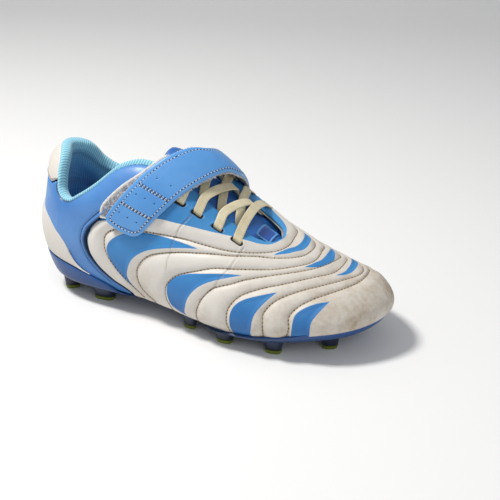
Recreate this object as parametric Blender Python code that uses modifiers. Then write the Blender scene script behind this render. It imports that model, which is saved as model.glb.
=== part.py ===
"""A child's soccer cleat for the right foot: moulded stud plate, quilted synthetic upper, padded collar,
tongue, flat elastic lace, and a hook and loop strap over the instep.

The upper follows one closed surface, the last.  A place on it is (p, t): p runs round the shoe in 20 stations,
0 at the back of the heel, 10 at the toe, 0..10 along the outer side and 10..20 back along the inner side;
t runs up the wall from 0 at the feather edge to 1 at the ridge over the instep.  A depth d is measured along
the surface's outward normal, so each layer is a patch of (p, t) between two depths.
All the sizes below are in millimetres: +X to the toe, +Y to the inner side of the foot, +Z up, ground at z 0.
"""
import math

import bmesh
import bpy
import numpy as np
from mathutils import Matrix, Vector

MM = 0.001
CENTRE_X, CENTRE_Y = 114.02, -0.11      # middle of the finished shoe, moved to the origin
STATIONS = 20
ROWS = 6
GAP = 0.3                              # air left between touching pieces

# Thickness of each layer and the depth of its outer face
SKIN = 1.3
UNDER = -2.1                           # first layer under the skin
FOAM = 0.9
STIFFENER = 0.7
STIFFENER_TOP = -3.6
LINING = 0.7
LINING_TOP = -4.9
HEEL_LINING_TOP = -3.9
FACING = 0.5
TONGUE_TOP = -4.9
RIM_GAP = 0.7                          # air between the plate's rim and the upper, where the glue line is
TONGUE_SKIN = 0.9
TONGUE_FOAM = 3.0
TONGUE_LINING = 0.8

# Plate, insole board and sockliner
FLOOR = 2.6
MARGIN = 8.0                           # lasting margin turned under the shoe
BOARD = 1.8
BOARD_INSET = 3.3
SOCK = 3.6
SOCK_INSET = 4.4

# Studs: (name, x, y, length of the blade at the ground, width at the ground, turn of the blade in degrees)
TIP_HEIGHT = 2.4
STUD_FLARE = 1.75                      # how much wider the stud is each side where it meets the plate
STUDS = [
    ("heel_outer_rear", 23.5, -15.5, 9.0, 8.0, 30.0),
    ("heel_outer_front", 50.5, -20.5, 13.0, 7.5, 6.0),
    ("heel_inner_rear", 23.5, 15.5, 9.0, 8.0, -30.0),
    ("heel_inner_front", 50.5, 17.5, 13.0, 7.5, -4.0),
    ("mid_outer", 115.5, -31.0, 7.5, 4.5, -10.0),
    ("ball_outer", 141.0, -36.5, 9.5, 7.5, 0.0),
    ("fore_outer", 171.0, -35.0, 9.5, 7.5, 10.0),
    ("toe_outer", 198.5, -15.5, 9.0, 7.5, 30.0),
    ("mid_inner", 116.0, 27.0, 9.5, 6.0, 8.0),
    ("ball_inner", 142.0, 34.0, 9.5, 7.5, 0.0),
    ("fore_inner", 169.0, 34.0, 9.5, 7.5, -12.0),
    ("toe_inner", 197.0, 20.0, 9.0, 7.5, -30.0),
]

# Lacing: four rows of eyelets, from the strap to the toe, as stations
EYELET_ROWS = (4.61, 5.05, 5.56, 6.05)
EYELET_T = 0.764
EYELET_LENGTH, EYELET_WIDTH = 7.4, 2.6
LACE_WIDTH, LACE_THICK = 5.6, 0.9

# Sections of the last, six points each: feather edge, low wall, mid wall, high wall, shoulder, ridge
OUTER = [
    [(9, 0, 15), (4, 0, 28), (1.5, 0, 47), (4, 0, 68), (10, 0, 90), (44, 0, 108)],
    [(14, -17, 15), (10.5, -20, 28), (8.5, -20.5, 47), (10.5, -18.5, 66), (17, -14, 87), (48, 0, 109)],
    [(32, -28, 14), (31, -30.5, 27), (30, -31.5, 43), (31, -30, 59), (36, -24, 80), (57, 0, 110)],
    [(59, -31, 14), (59, -34, 27), (58, -35.5, 44), (58.5, -34, 62), (62, -28, 83), (75, 0, 110)],
    [(88, -33.5, 13.5), (87, -36, 27), (87, -36.5, 45), (88, -34, 64), (91, -26, 86), (95, 0, 102)],
    [(118, -39, 12), (117.5, -42, 23), (116, -39, 41), (115, -34, 58), (115, -22.5, 74.5), (116, 0, 85)],
    [(145, -43.5, 11), (146, -46, 21), (143.5, -42.5, 35), (141, -34, 48.5), (139, -20.5, 60.5), (138, 1, 68.5)],
    [(172, -41.5, 12), (173, -44, 21), (170, -39.5, 32), (166, -31, 41.5), (162, -17, 50.5), (160, 2, 55)],
    [(197, -33, 15), (198, -35.5, 22.5), (195, -32, 31), (190, -24, 38.5), (184, -12, 44.5), (181, 3, 47.5)],
    [(215, -18.5, 17), (217, -19.5, 24), (214, -17.5, 31.5), (208, -12, 37.5), (200, -5, 41.5), (196, 4, 43)],
    [(223.5, 4, 19), (226.5, 4, 25.5), (223.5, 4, 32), (216.5, 4, 37.5), (208, 4, 41), (201, 4, 42.3)],
]
INNER = [
    [(14, 17, 15), (10.5, 20, 28), (8.5, 20.5, 47), (10.5, 18.5, 66), (17, 14, 87), (48, 0, 109)],
    [(32, 27, 14.5), (31, 30, 27), (30, 31, 43), (31, 29, 59), (36, 23, 80), (57, 0, 110)],
    [(59, 26, 15), (58.5, 30, 28), (57.5, 32, 45), (58.5, 31, 62), (62, 26, 83), (75, 0, 110)],
    [(88, 26, 15.5), (87, 31.5, 29), (87, 34, 47), (88, 32.5, 66), (91, 25, 88), (95, 0, 102)],
    [(118, 33, 14.5), (117, 38.5, 27), (116, 38.5, 43), (115, 34, 61), (115, 23, 77.5), (116, 0, 85)],
    [(145, 40.5, 13.5), (145, 44.5, 24), (143, 43, 38), (141, 35.5, 52), (139, 21.5, 64), (138, 1, 68.5)],
    [(171, 42, 13.5), (171.5, 45.5, 22.5), (169, 43, 33), (165, 34.5, 43.5), (162, 20, 52.5), (160, 2, 55)],
    [(195, 37, 15), (196.5, 40, 22.5), (193.5, 37, 31), (189, 29, 38.5), (184, 17, 45), (181, 3, 47.5)],
    [(214, 24.5, 17), (216, 26.5, 24), (213, 24.5, 31.5), (208, 19, 37.5), (200, 12, 41.5), (196, 4, 43)],
]

# Edges on the last as (station, t), the same both sides unless named for one
COLLAR_OUTER = [(0, .82), (.6, .82), (.85, .815), (1.15, .795), (1.5, .735), (1.65, .69), (1.85, .672), (2.05, .682),
                (2.3, .725), (2.6, .775), (3, .845), (3.4, .86), (4.5, .86), (6.3, .862), (6.7, .885), (6.9, .93),
                (7, 1), (10, 1)]
COLLAR_INNER = [(0, .82), (.6, .82), (1, .815), (1.3, .80), (1.7, .76), (2.2, .73), (2.6, .725), (3, .735),
                (3.4, .765), (3.8, .80), (4.2, .84), (4.5, .86), (6.3, .862), (6.7, .885), (6.9, .93), (7, 1), (10, 1)]
LINED_TO = [(0, .735), (6.1, .735), (6.5, .79), (6.9, .87), (7.15, .94), (7.4, 1), (10, 1)]
RIM_TOP = [(0, .19), (1.15, .18), (2.05, .155), (2.62, .10), (2.93, .06), (3.4, 0), (5.7, 0), (6.1, .015), (6.7, .04),
           (7.36, .083), (7.9, .143), (8.5, .205), (9.1, .24), (10, .24)]
# Front edge of the blue quarter as (t, station)
QUARTER_FRONT = [(0, 3.62), (.03, 3.53), (.12, 3.15), (.25, 2.80), (.37, 2.64), (.47, 2.60), (.56, 2.70), (.61, 2.97),
                 (.72, 3.5), (.86, 4.2)]
HEEL_OVERLAY_TOP = [(0, .50), (.6, .49), (1.2, .475), (1.66, .453), (2, .345), (2.23, .20), (2.46, .135), (2.58, .12)]
# Lower edge of the white heel tab, which meets the topline on each side
TAB_OUTER = [(0, .66), (.8, .665), (1.2, .68), (1.5, .735)]
TAB_INNER = [(0, .66), (.8, .665), (1.2, .69), (1.62, .768)]


def through(points, x):
    """The height at x of a smooth curve through the points, which never overshoots them."""
    xs = np.array([a for a, _ in points], float)
    ys = np.array([b for _, b in points], float)
    x = np.clip(x, xs[0], xs[-1])
    slope = np.diff(ys) / np.diff(xs)
    same = slope[1:] * slope[:-1] > 0
    inner = np.where(same, 2 * slope[1:] * slope[:-1] / np.where(same, slope[1:] + slope[:-1], 1), 0)
    m = np.concatenate([[0], inner, [0]])
    i = np.clip(np.searchsorted(xs, x, side="right") - 1, 0, len(xs) - 2)
    h = xs[i + 1] - xs[i]
    u = (x - xs[i]) / h
    return ((1 + 2 * u) * (1 - u) ** 2 * ys[i] + u * (1 - u) ** 2 * h * m[i]
            + u * u * (3 - 2 * u) * ys[i + 1] + u * u * (u - 1) * h * m[i + 1])


def fold(p):
    """The station counted from the heel on either side: 0 at the heel, 10 at the toe."""
    p = np.asarray(p, float) % STATIONS
    return np.minimum(p, STATIONS - p)


# ---- the last's surface: a bicubic B-spline through the sections, round the shoe and up the wall
def last_grid():
    rows = np.array(OUTER + INNER[::-1], float)
    beyond = []
    for i in range(STATIONS):
        k = int(fold(i))
        if k == 10:
            beyond.append(rows[9][5])
        elif k < 2:
            beyond.append(2 * rows[i][5] - rows[i][4])
        else:
            beyond.append(rows[STATIONS - i][4])
    rows = np.concatenate([rows, np.array(beyond)[:, None]], 1)
    n, m = STATIONS, ROWS + 1
    ring = np.zeros((n, n))
    for i in range(n):
        ring[i, (i - 1) % n], ring[i, i], ring[i, (i + 1) % n] = 1 / 6, 4 / 6, 1 / 6
    control = np.linalg.solve(ring, rows.reshape(n, -1)).reshape(rows.shape)
    wall = np.zeros((m + 2, m + 2))
    for i in range(m):
        wall[i + 1, i:i + 3] = (1 / 6, 4 / 6, 1 / 6)
    wall[0, :3] = wall[-1, -3:] = (1, -2, 1)
    right = np.zeros((m + 2, n, 3))
    right[1:-1] = np.moveaxis(control, 1, 0)
    return np.moveaxis(np.linalg.solve(wall, right.reshape(m + 2, -1)).reshape(right.shape), 0, 1)


CONTROL = last_grid()


def weights(f):
    return ((1 - f) ** 3 / 6, (3 * f ** 3 - 6 * f ** 2 + 4) / 6, (-3 * f ** 3 + 3 * f ** 2 + 3 * f + 1) / 6, f ** 3 / 6)


def on_last(p, t):
    p, t = np.broadcast_arrays(np.asarray(p, float) % STATIONS, np.clip(np.asarray(t, float), 0, 1) * (ROWS - 1))
    i = np.floor(p).astype(int)
    j = np.minimum(np.floor(t).astype(int), ROWS - 2)
    wp, wt = weights(p - i), weights(t - j)
    out = np.zeros(p.shape + (3,))
    for a in range(4):
        for b in range(4):
            out += (wp[a] * wt[b])[..., None] * CONTROL[(i + a - 1) % STATIONS, j + b]
    return out


def outward(p, t):
    """The outward normal, shared by both sides along the ridge."""
    p, t = np.broadcast_arrays(np.asarray(p, float), np.clip(np.asarray(t, float), .001, .999))

    def raw(q, s):
        along = on_last(q + .001, s) - on_last(q - .001, s)
        up = on_last(q, s + .001) - on_last(q, s - .001)
        n = np.cross(along, up)
        return n / np.linalg.norm(n, axis=-1, keepdims=True)

    near = np.clip((t - .9) / .09, 0, 1)[..., None]
    ridge = raw(p, np.full_like(t, .999)) + raw(STATIONS - p, np.full_like(t, .999))
    ridge /= np.linalg.norm(ridge, axis=-1, keepdims=True)
    n = raw(p, t) * (1 - near) + ridge * near
    return n / np.linalg.norm(n, axis=-1, keepdims=True)


def skin(p, t, d=0.0):
    d = np.asarray(d, float)[..., None]
    return on_last(p, t) + d * outward(p, t)


def collar(p):
    side = np.asarray(p, float) % STATIONS
    return np.where(side <= 10, through(COLLAR_OUTER, fold(p)), through(COLLAR_INNER, fold(p)))


def tab_bottom(p):
    side = np.asarray(p, float) % STATIONS
    return np.where(side <= 10, through(TAB_OUTER, fold(p)), through(TAB_INNER, fold(p)))


def spine(p):
    """The middle line under the foot: every station's ribs run in to it."""
    edge, twin = on_last(p, 0.0), on_last(STATIONS - np.asarray(p, float), 0.0)
    mid = (edge + twin) / 2
    x = np.clip(mid[..., 0], 32, 199)
    y = np.interp(x, (32, 120, 199), (0, -1.5, 4))
    z = np.interp(x, (32, 90, 125, 170, 199), (15, 15, 12.5, 13, 17))
    return np.stack([x, y, z], -1)


def inset(p, k, dz):
    """A point k in from the feather edge towards the spine, dz above the feather edge."""
    edge, mid = on_last(p, 0.0), spine(p)
    flat = (mid - edge) * (1, 1, 0)
    way = flat / np.linalg.norm(flat, axis=-1, keepdims=True)
    share = (np.broadcast_to(k, way.shape[:-1]) / np.linalg.norm(flat, axis=-1))[..., None]
    out = edge + way * np.broadcast_to(k, way.shape[:-1])[..., None]
    out[..., 2] = (edge[..., 2:] * (1 - share) + mid[..., 2:] * share)[..., 0] + dz
    return out


# ---- scene, materials and mesh helpers
for old in list(bpy.data.objects):
    bpy.data.objects.remove(old, do_unlink=True)

SHOE = bpy.data.collections.new("soccer_cleat")
CUTTERS = bpy.data.collections.new("cutters")
bpy.context.scene.collection.children.link(SHOE)
bpy.context.scene.collection.children.link(CUTTERS)


def material(name, colour, roughness):
    m = bpy.data.materials.new(name)
    m.use_nodes = True
    m.diffuse_color = (*colour, 1)
    bsdf = m.node_tree.nodes["Principled BSDF"]
    bsdf.inputs["Base Color"].default_value = (*colour, 1)
    bsdf.inputs["Roughness"].default_value = roughness
    bsdf.inputs["Metallic"].default_value = 0.0
    return m


WHITE = material("white_synthetic", (0.72, 0.69, 0.64), 0.5)
BLUE = material("blue_synthetic", (0.10, 0.28, 0.62), 0.4)
PLATE = material("blue_plate", (0.01, 0.10, 0.42), 0.25)
LIME = material("lime_tip", (0.45, 0.55, 0.05), 0.4)
KNIT = material("collar_knit", (0.25, 0.55, 0.75), 0.8)
PADDING = material("foam_padding", (0.75, 0.72, 0.60), 0.9)
FIBRE = material("fibre_board", (0.55, 0.50, 0.42), 0.85)
ELASTIC = material("elastic_lace", (0.75, 0.68, 0.50), 0.8)
PILE = material("white_pile", (0.70, 0.68, 0.64), 0.95)


def to_world(points):
    return (np.asarray(points, float) - (CENTRE_X, CENTRE_Y, 0)) * MM


def new_object(name, bm, mat, collection=SHOE):
    mesh = bpy.data.meshes.new(name)
    bm.to_mesh(mesh)
    bm.free()
    mesh.shade_smooth()
    mesh.set_sharp_from_angle(angle=math.radians(35))
    mesh.materials.append(mat)
    obj = bpy.data.objects.new(name, mesh)
    collection.objects.link(obj)
    return obj


def grid(bm, points, wrap=False):
    """Quads over rows x columns of points, one vertex where points coincide."""
    rows, cols = points.shape[:2]
    found, verts = {}, np.empty((rows, cols), object)
    for r in range(rows):
        for c in range(cols):
            key = tuple(np.round(points[r, c], 4))
            if key not in found:
                found[key] = bm.verts.new(to_world(points[r, c]))
            verts[r, c] = found[key]
    for r in range(rows - 1):
        for c in range(cols if wrap else cols - 1):
            ring = [verts[r, c], verts[r, (c + 1) % cols], verts[r + 1, (c + 1) % cols], verts[r + 1, c]]
            corner = [v for i, v in enumerate(ring) if v is not ring[i - 1]]
            if len(set(corner)) >= 3:
                bm.faces.new(corner)
    return verts


def sheet(name, points, thickness, mat, wrap=False):
    """An open lofted sheet whose face looks outward, given its thickness inward by Solidify."""
    bm = bmesh.new()
    grid(bm, points, wrap)
    obj = new_object(name, bm, mat)
    solid = obj.modifiers.new("thickness", "SOLIDIFY")
    solid.thickness = thickness * MM
    solid.offset = -1
    return obj


def loft(name, outside, inside, mat, wrap=False):
    """A closed body between two matching grids of points, joined round their free edges."""
    bm = bmesh.new()
    a, b = grid(bm, outside, wrap), grid(bm, inside, wrap)
    twin = {v: w for v, w in zip(a.ravel(), b.ravel())}
    inner_faces = [f for f in bm.faces if f.verts[0] not in twin]
    edges = [(e, e.link_loops[0]) for e in bm.edges if len(e.link_faces) == 1 and e.verts[0] in twin]
    rim = [(loop.vert, loop.link_loop_next.vert) for _, loop in edges]
    bmesh.ops.reverse_faces(bm, faces=inner_faces)
    for v, w in rim:
        bm.faces.new([w, v, twin[v], twin[w]])
    return new_object(name, bm, mat)


def patch_rows(p, t_low, t_high, count, d=0.0):
    s = np.linspace(0, 1, count)[:, None]
    t = np.asarray(t_low) * (1 - s) + np.asarray(t_high) * s
    p, t = np.broadcast_arrays(p, t)
    return skin(p, t, np.full(t.shape, d))


# ---- upper: vamp, quarters, heel overlay and heel tab
def under_edge(p):
    """The lasting margin: two rows turned in under the shoe below the feather edge."""
    return np.stack([inset(p, MARGIN, 0), inset(p, 1.5, 0)])


def vamp_front(s, p):
    """Moves a column by the curve of the quarter's front edge, less and less towards the toe."""
    k = fold(p)
    shift = (through([(a, b) for a, b in QUARTER_FRONT], s * .86) - 3) * np.clip(1 - (k - 3) / 4, 0, 1)
    return np.where(np.asarray(p) <= 10, p + shift, p - shift)


def make_vamp():
    base = np.linspace(3, 17, 43)
    rows = [0, .06, .14, .23, .33, .43, .53, .62, .7, .77, .83, .89, .95, 1]
    p = np.array([vamp_front(s, base) for s in rows])
    p += np.where(base == 3, .03, 0) - np.where(base == 17, .03, 0)
    t = np.array(rows)[:, None] * collar(p)
    sheet("vamp", np.concatenate([under_edge(p[0]), skin(p, t)]), SKIN, WHITE)


def make_quarter(name, side):
    rows = np.array([0, .08, .18, .3, .42, .54, .65, .75, .83, .9, .95, 1])[:, None]
    across = np.concatenate([np.linspace(0, .24, 4), np.linspace(.3, .66, 9), np.linspace(.74, 1, 4)])[None, :]
    k = .02 + across * (through(QUARTER_FRONT, rows * .86) - .05)
    p = k if side < 0 else STATIONS - k
    end = TAB_OUTER[-1][0] if side < 0 else TAB_INNER[-1][0]
    top = np.where(fold(p) < end, tab_bottom(p) - .012, collar(p))
    points = np.concatenate([under_edge(p[0]), skin(p, rows * top)])
    sheet(name, points if side < 0 else points[:, ::-1], SKIN, BLUE)


def make_heel_pieces():
    p = np.linspace(-2.58, 2.58, 21)
    low = through(RIM_TOP, fold(p)) + .012
    sheet("heel_overlay", patch_rows(p, low, through(HEEL_OVERLAY_TOP, fold(p)), 6, 1.4), .9, WHITE)
    p = np.linspace(.03 - TAB_INNER[-1][0], TAB_OUTER[-1][0] - .03, 15)
    sheet("heel_tab", patch_rows(p, tab_bottom(p), collar(p), 5), SKIN, WHITE)
    p = np.linspace(-2.5, 2.5, 17)
    sheet("heel_counter", patch_rows(p, .09, .5, 6, UNDER), 1.2, FIBRE)


# ---- inside the upper: padding, toe stiffener, linings, facing and collar
def make_vamp_layers():
    p = np.concatenate([np.linspace(3.78, 7, 10), np.linspace(7.333, 12.667, 17), np.linspace(13, 15.75, 9)])
    sheet("vamp_padding", patch_rows(p, .10, through(LINED_TO, fold(p)), 8, UNDER), FOAM, PADDING)
    toe = np.linspace(8.25, 11.75, 12)
    sheet("toe_stiffener", patch_rows(toe, .10, .62, 6, STIFFENER_TOP), STIFFENER, FIBRE)
    sheet("vamp_lining", patch_rows(p, .10, through(LINED_TO, fold(p)), 8, LINING_TOP), LINING, KNIT)
    outer = np.concatenate([np.linspace(3.78, 6.25, 12), np.linspace(6.5, 7.4, 7)])
    inner = np.concatenate([np.linspace(4.3, 6.25, 10), outer[12:]])
    p = np.concatenate([outer, STATIONS - inner[::-1]])
    low = np.where(fold(p) > 7.39, 1, through(LINED_TO, fold(p)) + .022)
    high = np.maximum(collar(p), low)
    sheet("throat_facing", patch_rows(p, low, high, 4, UNDER), FACING, WHITE)


FOAM_BOTTOM = 0.53


def collar_depth(k, share):
    """How deep the collar padding is, share 0 at its lower edge and 1 at the topline."""
    full = through([(0, 6.5), (1.2, 6.0), (2, 4.4), (3, 3.6), (5, 2.6)], k)
    return full * (.25 + .75 * np.sin(np.clip(share, 0, 1) * 2.4) / math.sin(1.57))


def make_collar():
    p = np.concatenate([np.linspace(-4.2, -1.9, 8), np.linspace(-1.6, 1.2, 10), np.linspace(1.35, 2.4, 8),
                        np.linspace(2.7, 3.7, 5)])
    top = collar(p) - .022
    s = np.linspace(0, 1, 6)[:, None]
    t = FOAM_BOTTOM * (1 - s) + top * s
    p2 = np.broadcast_to(p, t.shape)
    outside = skin(p2, t, np.full(t.shape, UNDER - .4))
    inside = skin(p2, t, UNDER - .5 - collar_depth(fold(p2), s))
    loft("collar_foam", outside, inside, PADDING)
    low = [.10, .28, .46]
    rows = [skin(p, np.full(p.shape, t), np.full(p.shape, HEEL_LINING_TOP)) for t in low]
    for share in (.0, .25, .5, .75, .98):
        t = FOAM_BOTTOM * (1 - share) + top * share
        rows.append(skin(p, t, UNDER - .5 - GAP - collar_depth(fold(p), share)))
    depth = UNDER - .5 - collar_depth(fold(p), 1)
    rows.append(skin(p, collar(p) - .002, depth))
    rows.append(skin(p, collar(p) + .015, depth * .6))
    rows.append(skin(p, collar(p) + .015, np.full(p.shape, -.9)))
    rows.append(skin(p, collar(p) + .014, np.full(p.shape, -.2)))
    sheet("collar_lining", np.array(rows), LINING, KNIT)


# ---- under the foot: insole board, sockliner and plate
def disc(p, edge, dz, rings):
    """Rings of points from an inset edge in to the spine."""
    rim, mid = inset(p, edge, dz), spine(p) + (0, 0, dz)
    s = np.linspace(0, 1, rings)[:, None, None]
    return rim * (1 - s) + mid * s


def make_footbed():
    p = np.arange(0, STATIONS, .5)
    board_top = SKIN + GAP + BOARD
    sheet("insole_board", disc(p, BOARD_INSET, board_top, 4), BOARD, FIBRE, wrap=True)
    sheet("sockliner", disc(p, SOCK_INSET, board_top + GAP + SOCK, 4), SOCK, BLUE, wrap=True)


def cone(bm, x, y, z0, z1, low, high, turn, sides=16):
    """A closed taper between two ellipses, low and high as (half length, half width)."""
    made = bmesh.ops.create_cone(bm, cap_ends=True, cap_tris=False, segments=sides, radius1=1, radius2=1, depth=1)
    spin = Matrix.Rotation(math.radians(turn), 3, "Z")
    for v in made["verts"]:
        size = low if v.co.z < 0 else high
        flat = spin @ Vector((v.co.x * size[0], v.co.y * size[1], 0))
        v.co = Vector(to_world((x + flat.x, y + flat.y, z0 if v.co.z < 0 else z1)))


# Where the plate is a cup round the upper, 1, and where it draws in under it at the waist, 0
WAIST = [(0, 1), (3.35, 1), (4.1, 0), (4.95, 0), (5.7, 1), (10, 1)]


def make_plate():
    p = np.linspace(0, STATIONS, 61)[:-1]
    rim = through(RIM_TOP, fold(p))
    cupped = through(WAIST, fold(p))[:, None]
    low_rim = np.stack([0 * p, 0 * p, -.7 * np.clip(1 - rim / .02, 0, 1)], -1)
    edge = on_last(p, 0.0)
    side = skin(p, 0.0, 1.0) - edge
    side[:, 2] = 0

    def mix(cup, waist):
        return cup * cupped + waist * (1 - cupped)

    drop = (0, 0, -GAP)
    outside = [
        mix(skin(p, rim, RIM_GAP + .9) + low_rim, inset(p, 5.0, -GAP)),
        mix(skin(p, rim * .5, RIM_GAP + 1.3) + low_rim, inset(p, 4.9, -1.0)),
        mix(edge + side * 1.8 + (0, 0, -1.2), inset(p, 5.1, -1.9)),
        mix(inset(p, .6, -GAP - FLOOR + .3), inset(p, 6.0, -GAP - FLOOR + .2)),
        mix(inset(p, 3.5, -GAP - FLOOR - .5), inset(p, 9.0, -GAP - FLOOR)),
        inset(p, 13.0, -GAP - FLOOR),
        spine(p) + (0, 0, -GAP - FLOOR),
    ]
    inside = [
        mix(skin(p, rim, RIM_GAP) + low_rim, inset(p, 5.7, -GAP)),
        mix(skin(p, rim * .5, RIM_GAP) + low_rim, inset(p, 6.1, -GAP)),
        mix(edge + side * RIM_GAP * .9 + (0, 0, -.8), inset(p, 6.5, -GAP)),
        mix(inset(p, .6, -.8), inset(p, 7.0, -GAP)),
        mix(inset(p, 3.5, -GAP), inset(p, 9.2, -GAP)),
        inset(p, 13.0, -GAP),
        spine(p) + drop,
    ]
    plate = loft("outsole_plate", np.array(outside)[::-1], np.array(inside)[::-1], PLATE, wrap=True)
    for name, x, y, length, width, turn in STUDS:
        z_floor = floor_height(x, y) - 1.0
        bm = bmesh.new()
        low = (length / 2 + .25, width / 2 + .25)
        high = (length / 2 + STUD_FLARE, width / 2 + STUD_FLARE)
        cone(bm, x, y, TIP_HEIGHT + GAP, z_floor, low, high, turn)
        stud = new_object("stud_" + name, bm, PLATE, CUTTERS)
        stud.hide_render = True
        stud.display_type = "WIRE"
        join = plate.modifiers.new("stud_" + name, "BOOLEAN")
        join.operation = "UNION"
        join.object = stud
        bm = bmesh.new()
        cone(bm, x, y, 0, TIP_HEIGHT, (length / 2 - .2, width / 2 - .2), (length / 2 + .2, width / 2 + .2), turn)
        tip = new_object("stud_tip_" + name, bm, LIME)
        round_edge = tip.modifiers.new("round_edge", "BEVEL")
        round_edge.width = .5 * MM
        round_edge.segments = 1
        round_edge.limit_method = "ANGLE"


def floor_height(x, y):
    """Height of the floor's underside over the ground at a place under the shoe."""
    best = min(np.arange(0, STATIONS, .1), key=lambda p: np.hypot(*(on_last(p, 0.0)[:2] - (x, y))))
    return float(on_last(best, 0.0)[2]) - GAP


# ---- tongue
TONGUE_EDGE = [(3.8, .93), (3.9, .90), (4.4, .90), (4.8, .85), (5.2, .79), (5.6, .775), (7.1, .775)]


def make_tongue():
    k = np.array([3.8, 3.9, 4.1, 4.4, 4.75, 5.2, 5.65, 6.1, 6.45, 6.75, 6.95, 7.1])
    edge = np.maximum(through(TONGUE_EDGE, k), through(LINED_TO, k) + .035)
    c = np.linspace(-1, 1, 9)
    kk = np.broadcast_to(k[None, :], (len(c), len(k)))
    p = np.where(c[:, None] <= 0, kk, STATIONS - kk)
    t = 1 - (1 - edge[None, :]) * np.abs(c[:, None])
    layers = (("tongue_shell", TONGUE_TOP, TONGUE_SKIN, BLUE),
              ("tongue_foam", TONGUE_TOP - TONGUE_SKIN - 2 * GAP, TONGUE_FOAM, PADDING),
              ("tongue_lining", TONGUE_TOP - TONGUE_SKIN - TONGUE_FOAM - 4 * GAP, TONGUE_LINING, KNIT))
    for name, d, thick, mat in layers:
        sheet(name, skin(p, t, np.full(t.shape, d)), thick, mat)
    kk, cc = np.meshgrid(np.linspace(6.45, 6.8, 4), np.linspace(-.5, .5, 7))
    p = np.where(cc <= 0, kk, STATIONS - kk)
    t = 1 - .14 * np.abs(cc)
    sheet("tongue_patch", skin(p, t, np.full(t.shape, TONGUE_TOP + GAP + .6)), .6, BLUE)


# ---- elastic lace
def smooth_route(points, per_span):
    """A Catmull-Rom curve through the points."""
    q = np.array(points, float)
    q = np.concatenate([[2 * q[0] - q[1]], q, [2 * q[-1] - q[-2]]])
    out = []
    for i in range(1, len(q) - 2):
        for u in np.arange(per_span) / per_span:
            a, b, c, d = q[i - 1:i + 3]
            out.append(.5 * (2 * b + (c - a) * u + (2 * a - 5 * b + 4 * c - d) * u ** 2
                             + (3 * b - a - 3 * c + d) * u ** 3))
    out.append(q[-2])
    return np.array(out)


def lace_route():
    """Up through an eyelet, over the throat, under the far edge one row on, and so to the front bar and back."""
    hop = {True: ((.80, 1.7), (.86, 2.5), (.93, 2.6), (1, 2.1), (.96, 1.9), (.94, 1.3), (.92, -1.2), (.895, -2.5),
                  (.86, -3.7)),
           False: ((.80, 1.7), (.86, 2.9), (.895, 2.1), (.92, .3), (.94, -.8), (.96, -1.3), (1, -1.6),
                   (.93, -2.6), (.86, -3.7))}
    turn = ((EYELET_T + .04, -3.75), (EYELET_T + .008, -3.4), (EYELET_T - .002, -1.6), (EYELET_T, 0),
            (EYELET_T + .012, .95))
    rows = EYELET_ROWS

    def place(k, inner_side, t, d):
        """A point of the route, and the way the lace's width lies there: along the throat, to the toe."""
        p = STATIONS - k if inner_side else k
        way = on_last(p + .05, t) - on_last(p - .05, t)
        way *= (-1 if inner_side else 1) / np.linalg.norm(way)
        return np.concatenate([skin(p, t, d), way])

    def cross(row, from_outer):
        """From on top at a row to under the far side's edge at the next row."""
        points, steps = [], hop[from_outer]
        middle = [t for t, _ in steps].index(1) + 1
        pitch = rows[row + 1] - rows[row]
        for t, d in steps[:middle]:
            share = max(0, (t - .86) / .14) * .5
            points.append(place(rows[row] + pitch * share, not from_outer, t, d))
        for t, d in steps[middle:]:
            share = 1 - max(0, (t - .86) / .14) * .5
            points.append(place(rows[row] + pitch * share, from_outer, t, d))
        return points

    def eyelet(row, inner_side):
        """From under the edge, up through the eyelet to the top."""
        return [place(rows[row], inner_side, t, d) for t, d in turn]

    def half(first_outer):
        """From the sewn end at the first row to the eyelet of the last row."""
        outer, points = first_outer, []
        points += eyelet(0, not outer)
        for row in range(3):
            points += cross(row, outer)
            outer = not outer
            points += eyelet(row + 1, not outer)
        return points

    one, other = half(True), half(False)
    bar = [place(rows[3], True, t, d) for t, d in ((.80, 1.9), (.87, 2.9), (.94, 3.4))]
    bar += [place(rows[3], False, t, d) for t, d in ((1, 3.5), (.94, 3.4), (.87, 2.9), (.80, 1.9))]
    return one + bar + other[::-1]


def make_lace():
    route = smooth_route(lace_route(), 2)
    route, across = route[:, :3], route[:, 3:]
    along = np.gradient(route, axis=0)
    along /= np.linalg.norm(along, axis=1, keepdims=True)
    across = across - (across * along).sum(1, keepdims=True) * along
    across /= np.linalg.norm(across, axis=1, keepdims=True)
    up = np.cross(along, across)
    w, h = LACE_WIDTH / 2, LACE_THICK / 2
    section = ((-w, -h), (w, -h), (w, h), (-w, h))
    rings = np.array([route + across * a + up * b for a, b in section])
    bm = bmesh.new()
    verts = [[bm.verts.new(to_world(q)) for q in ring] for ring in rings.transpose(1, 0, 2)]
    for a, b in zip(verts, verts[1:]):
        for i in range(len(section)):
            j = (i + 1) % len(section)
            bm.faces.new([a[i], a[j], b[j], b[i]])
    bm.faces.new(verts[0][::-1])
    bm.faces.new(verts[-1])
    bmesh.ops.recalc_face_normals(bm, faces=bm.faces)
    new_object("elastic_lace", bm, ELASTIC)


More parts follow.
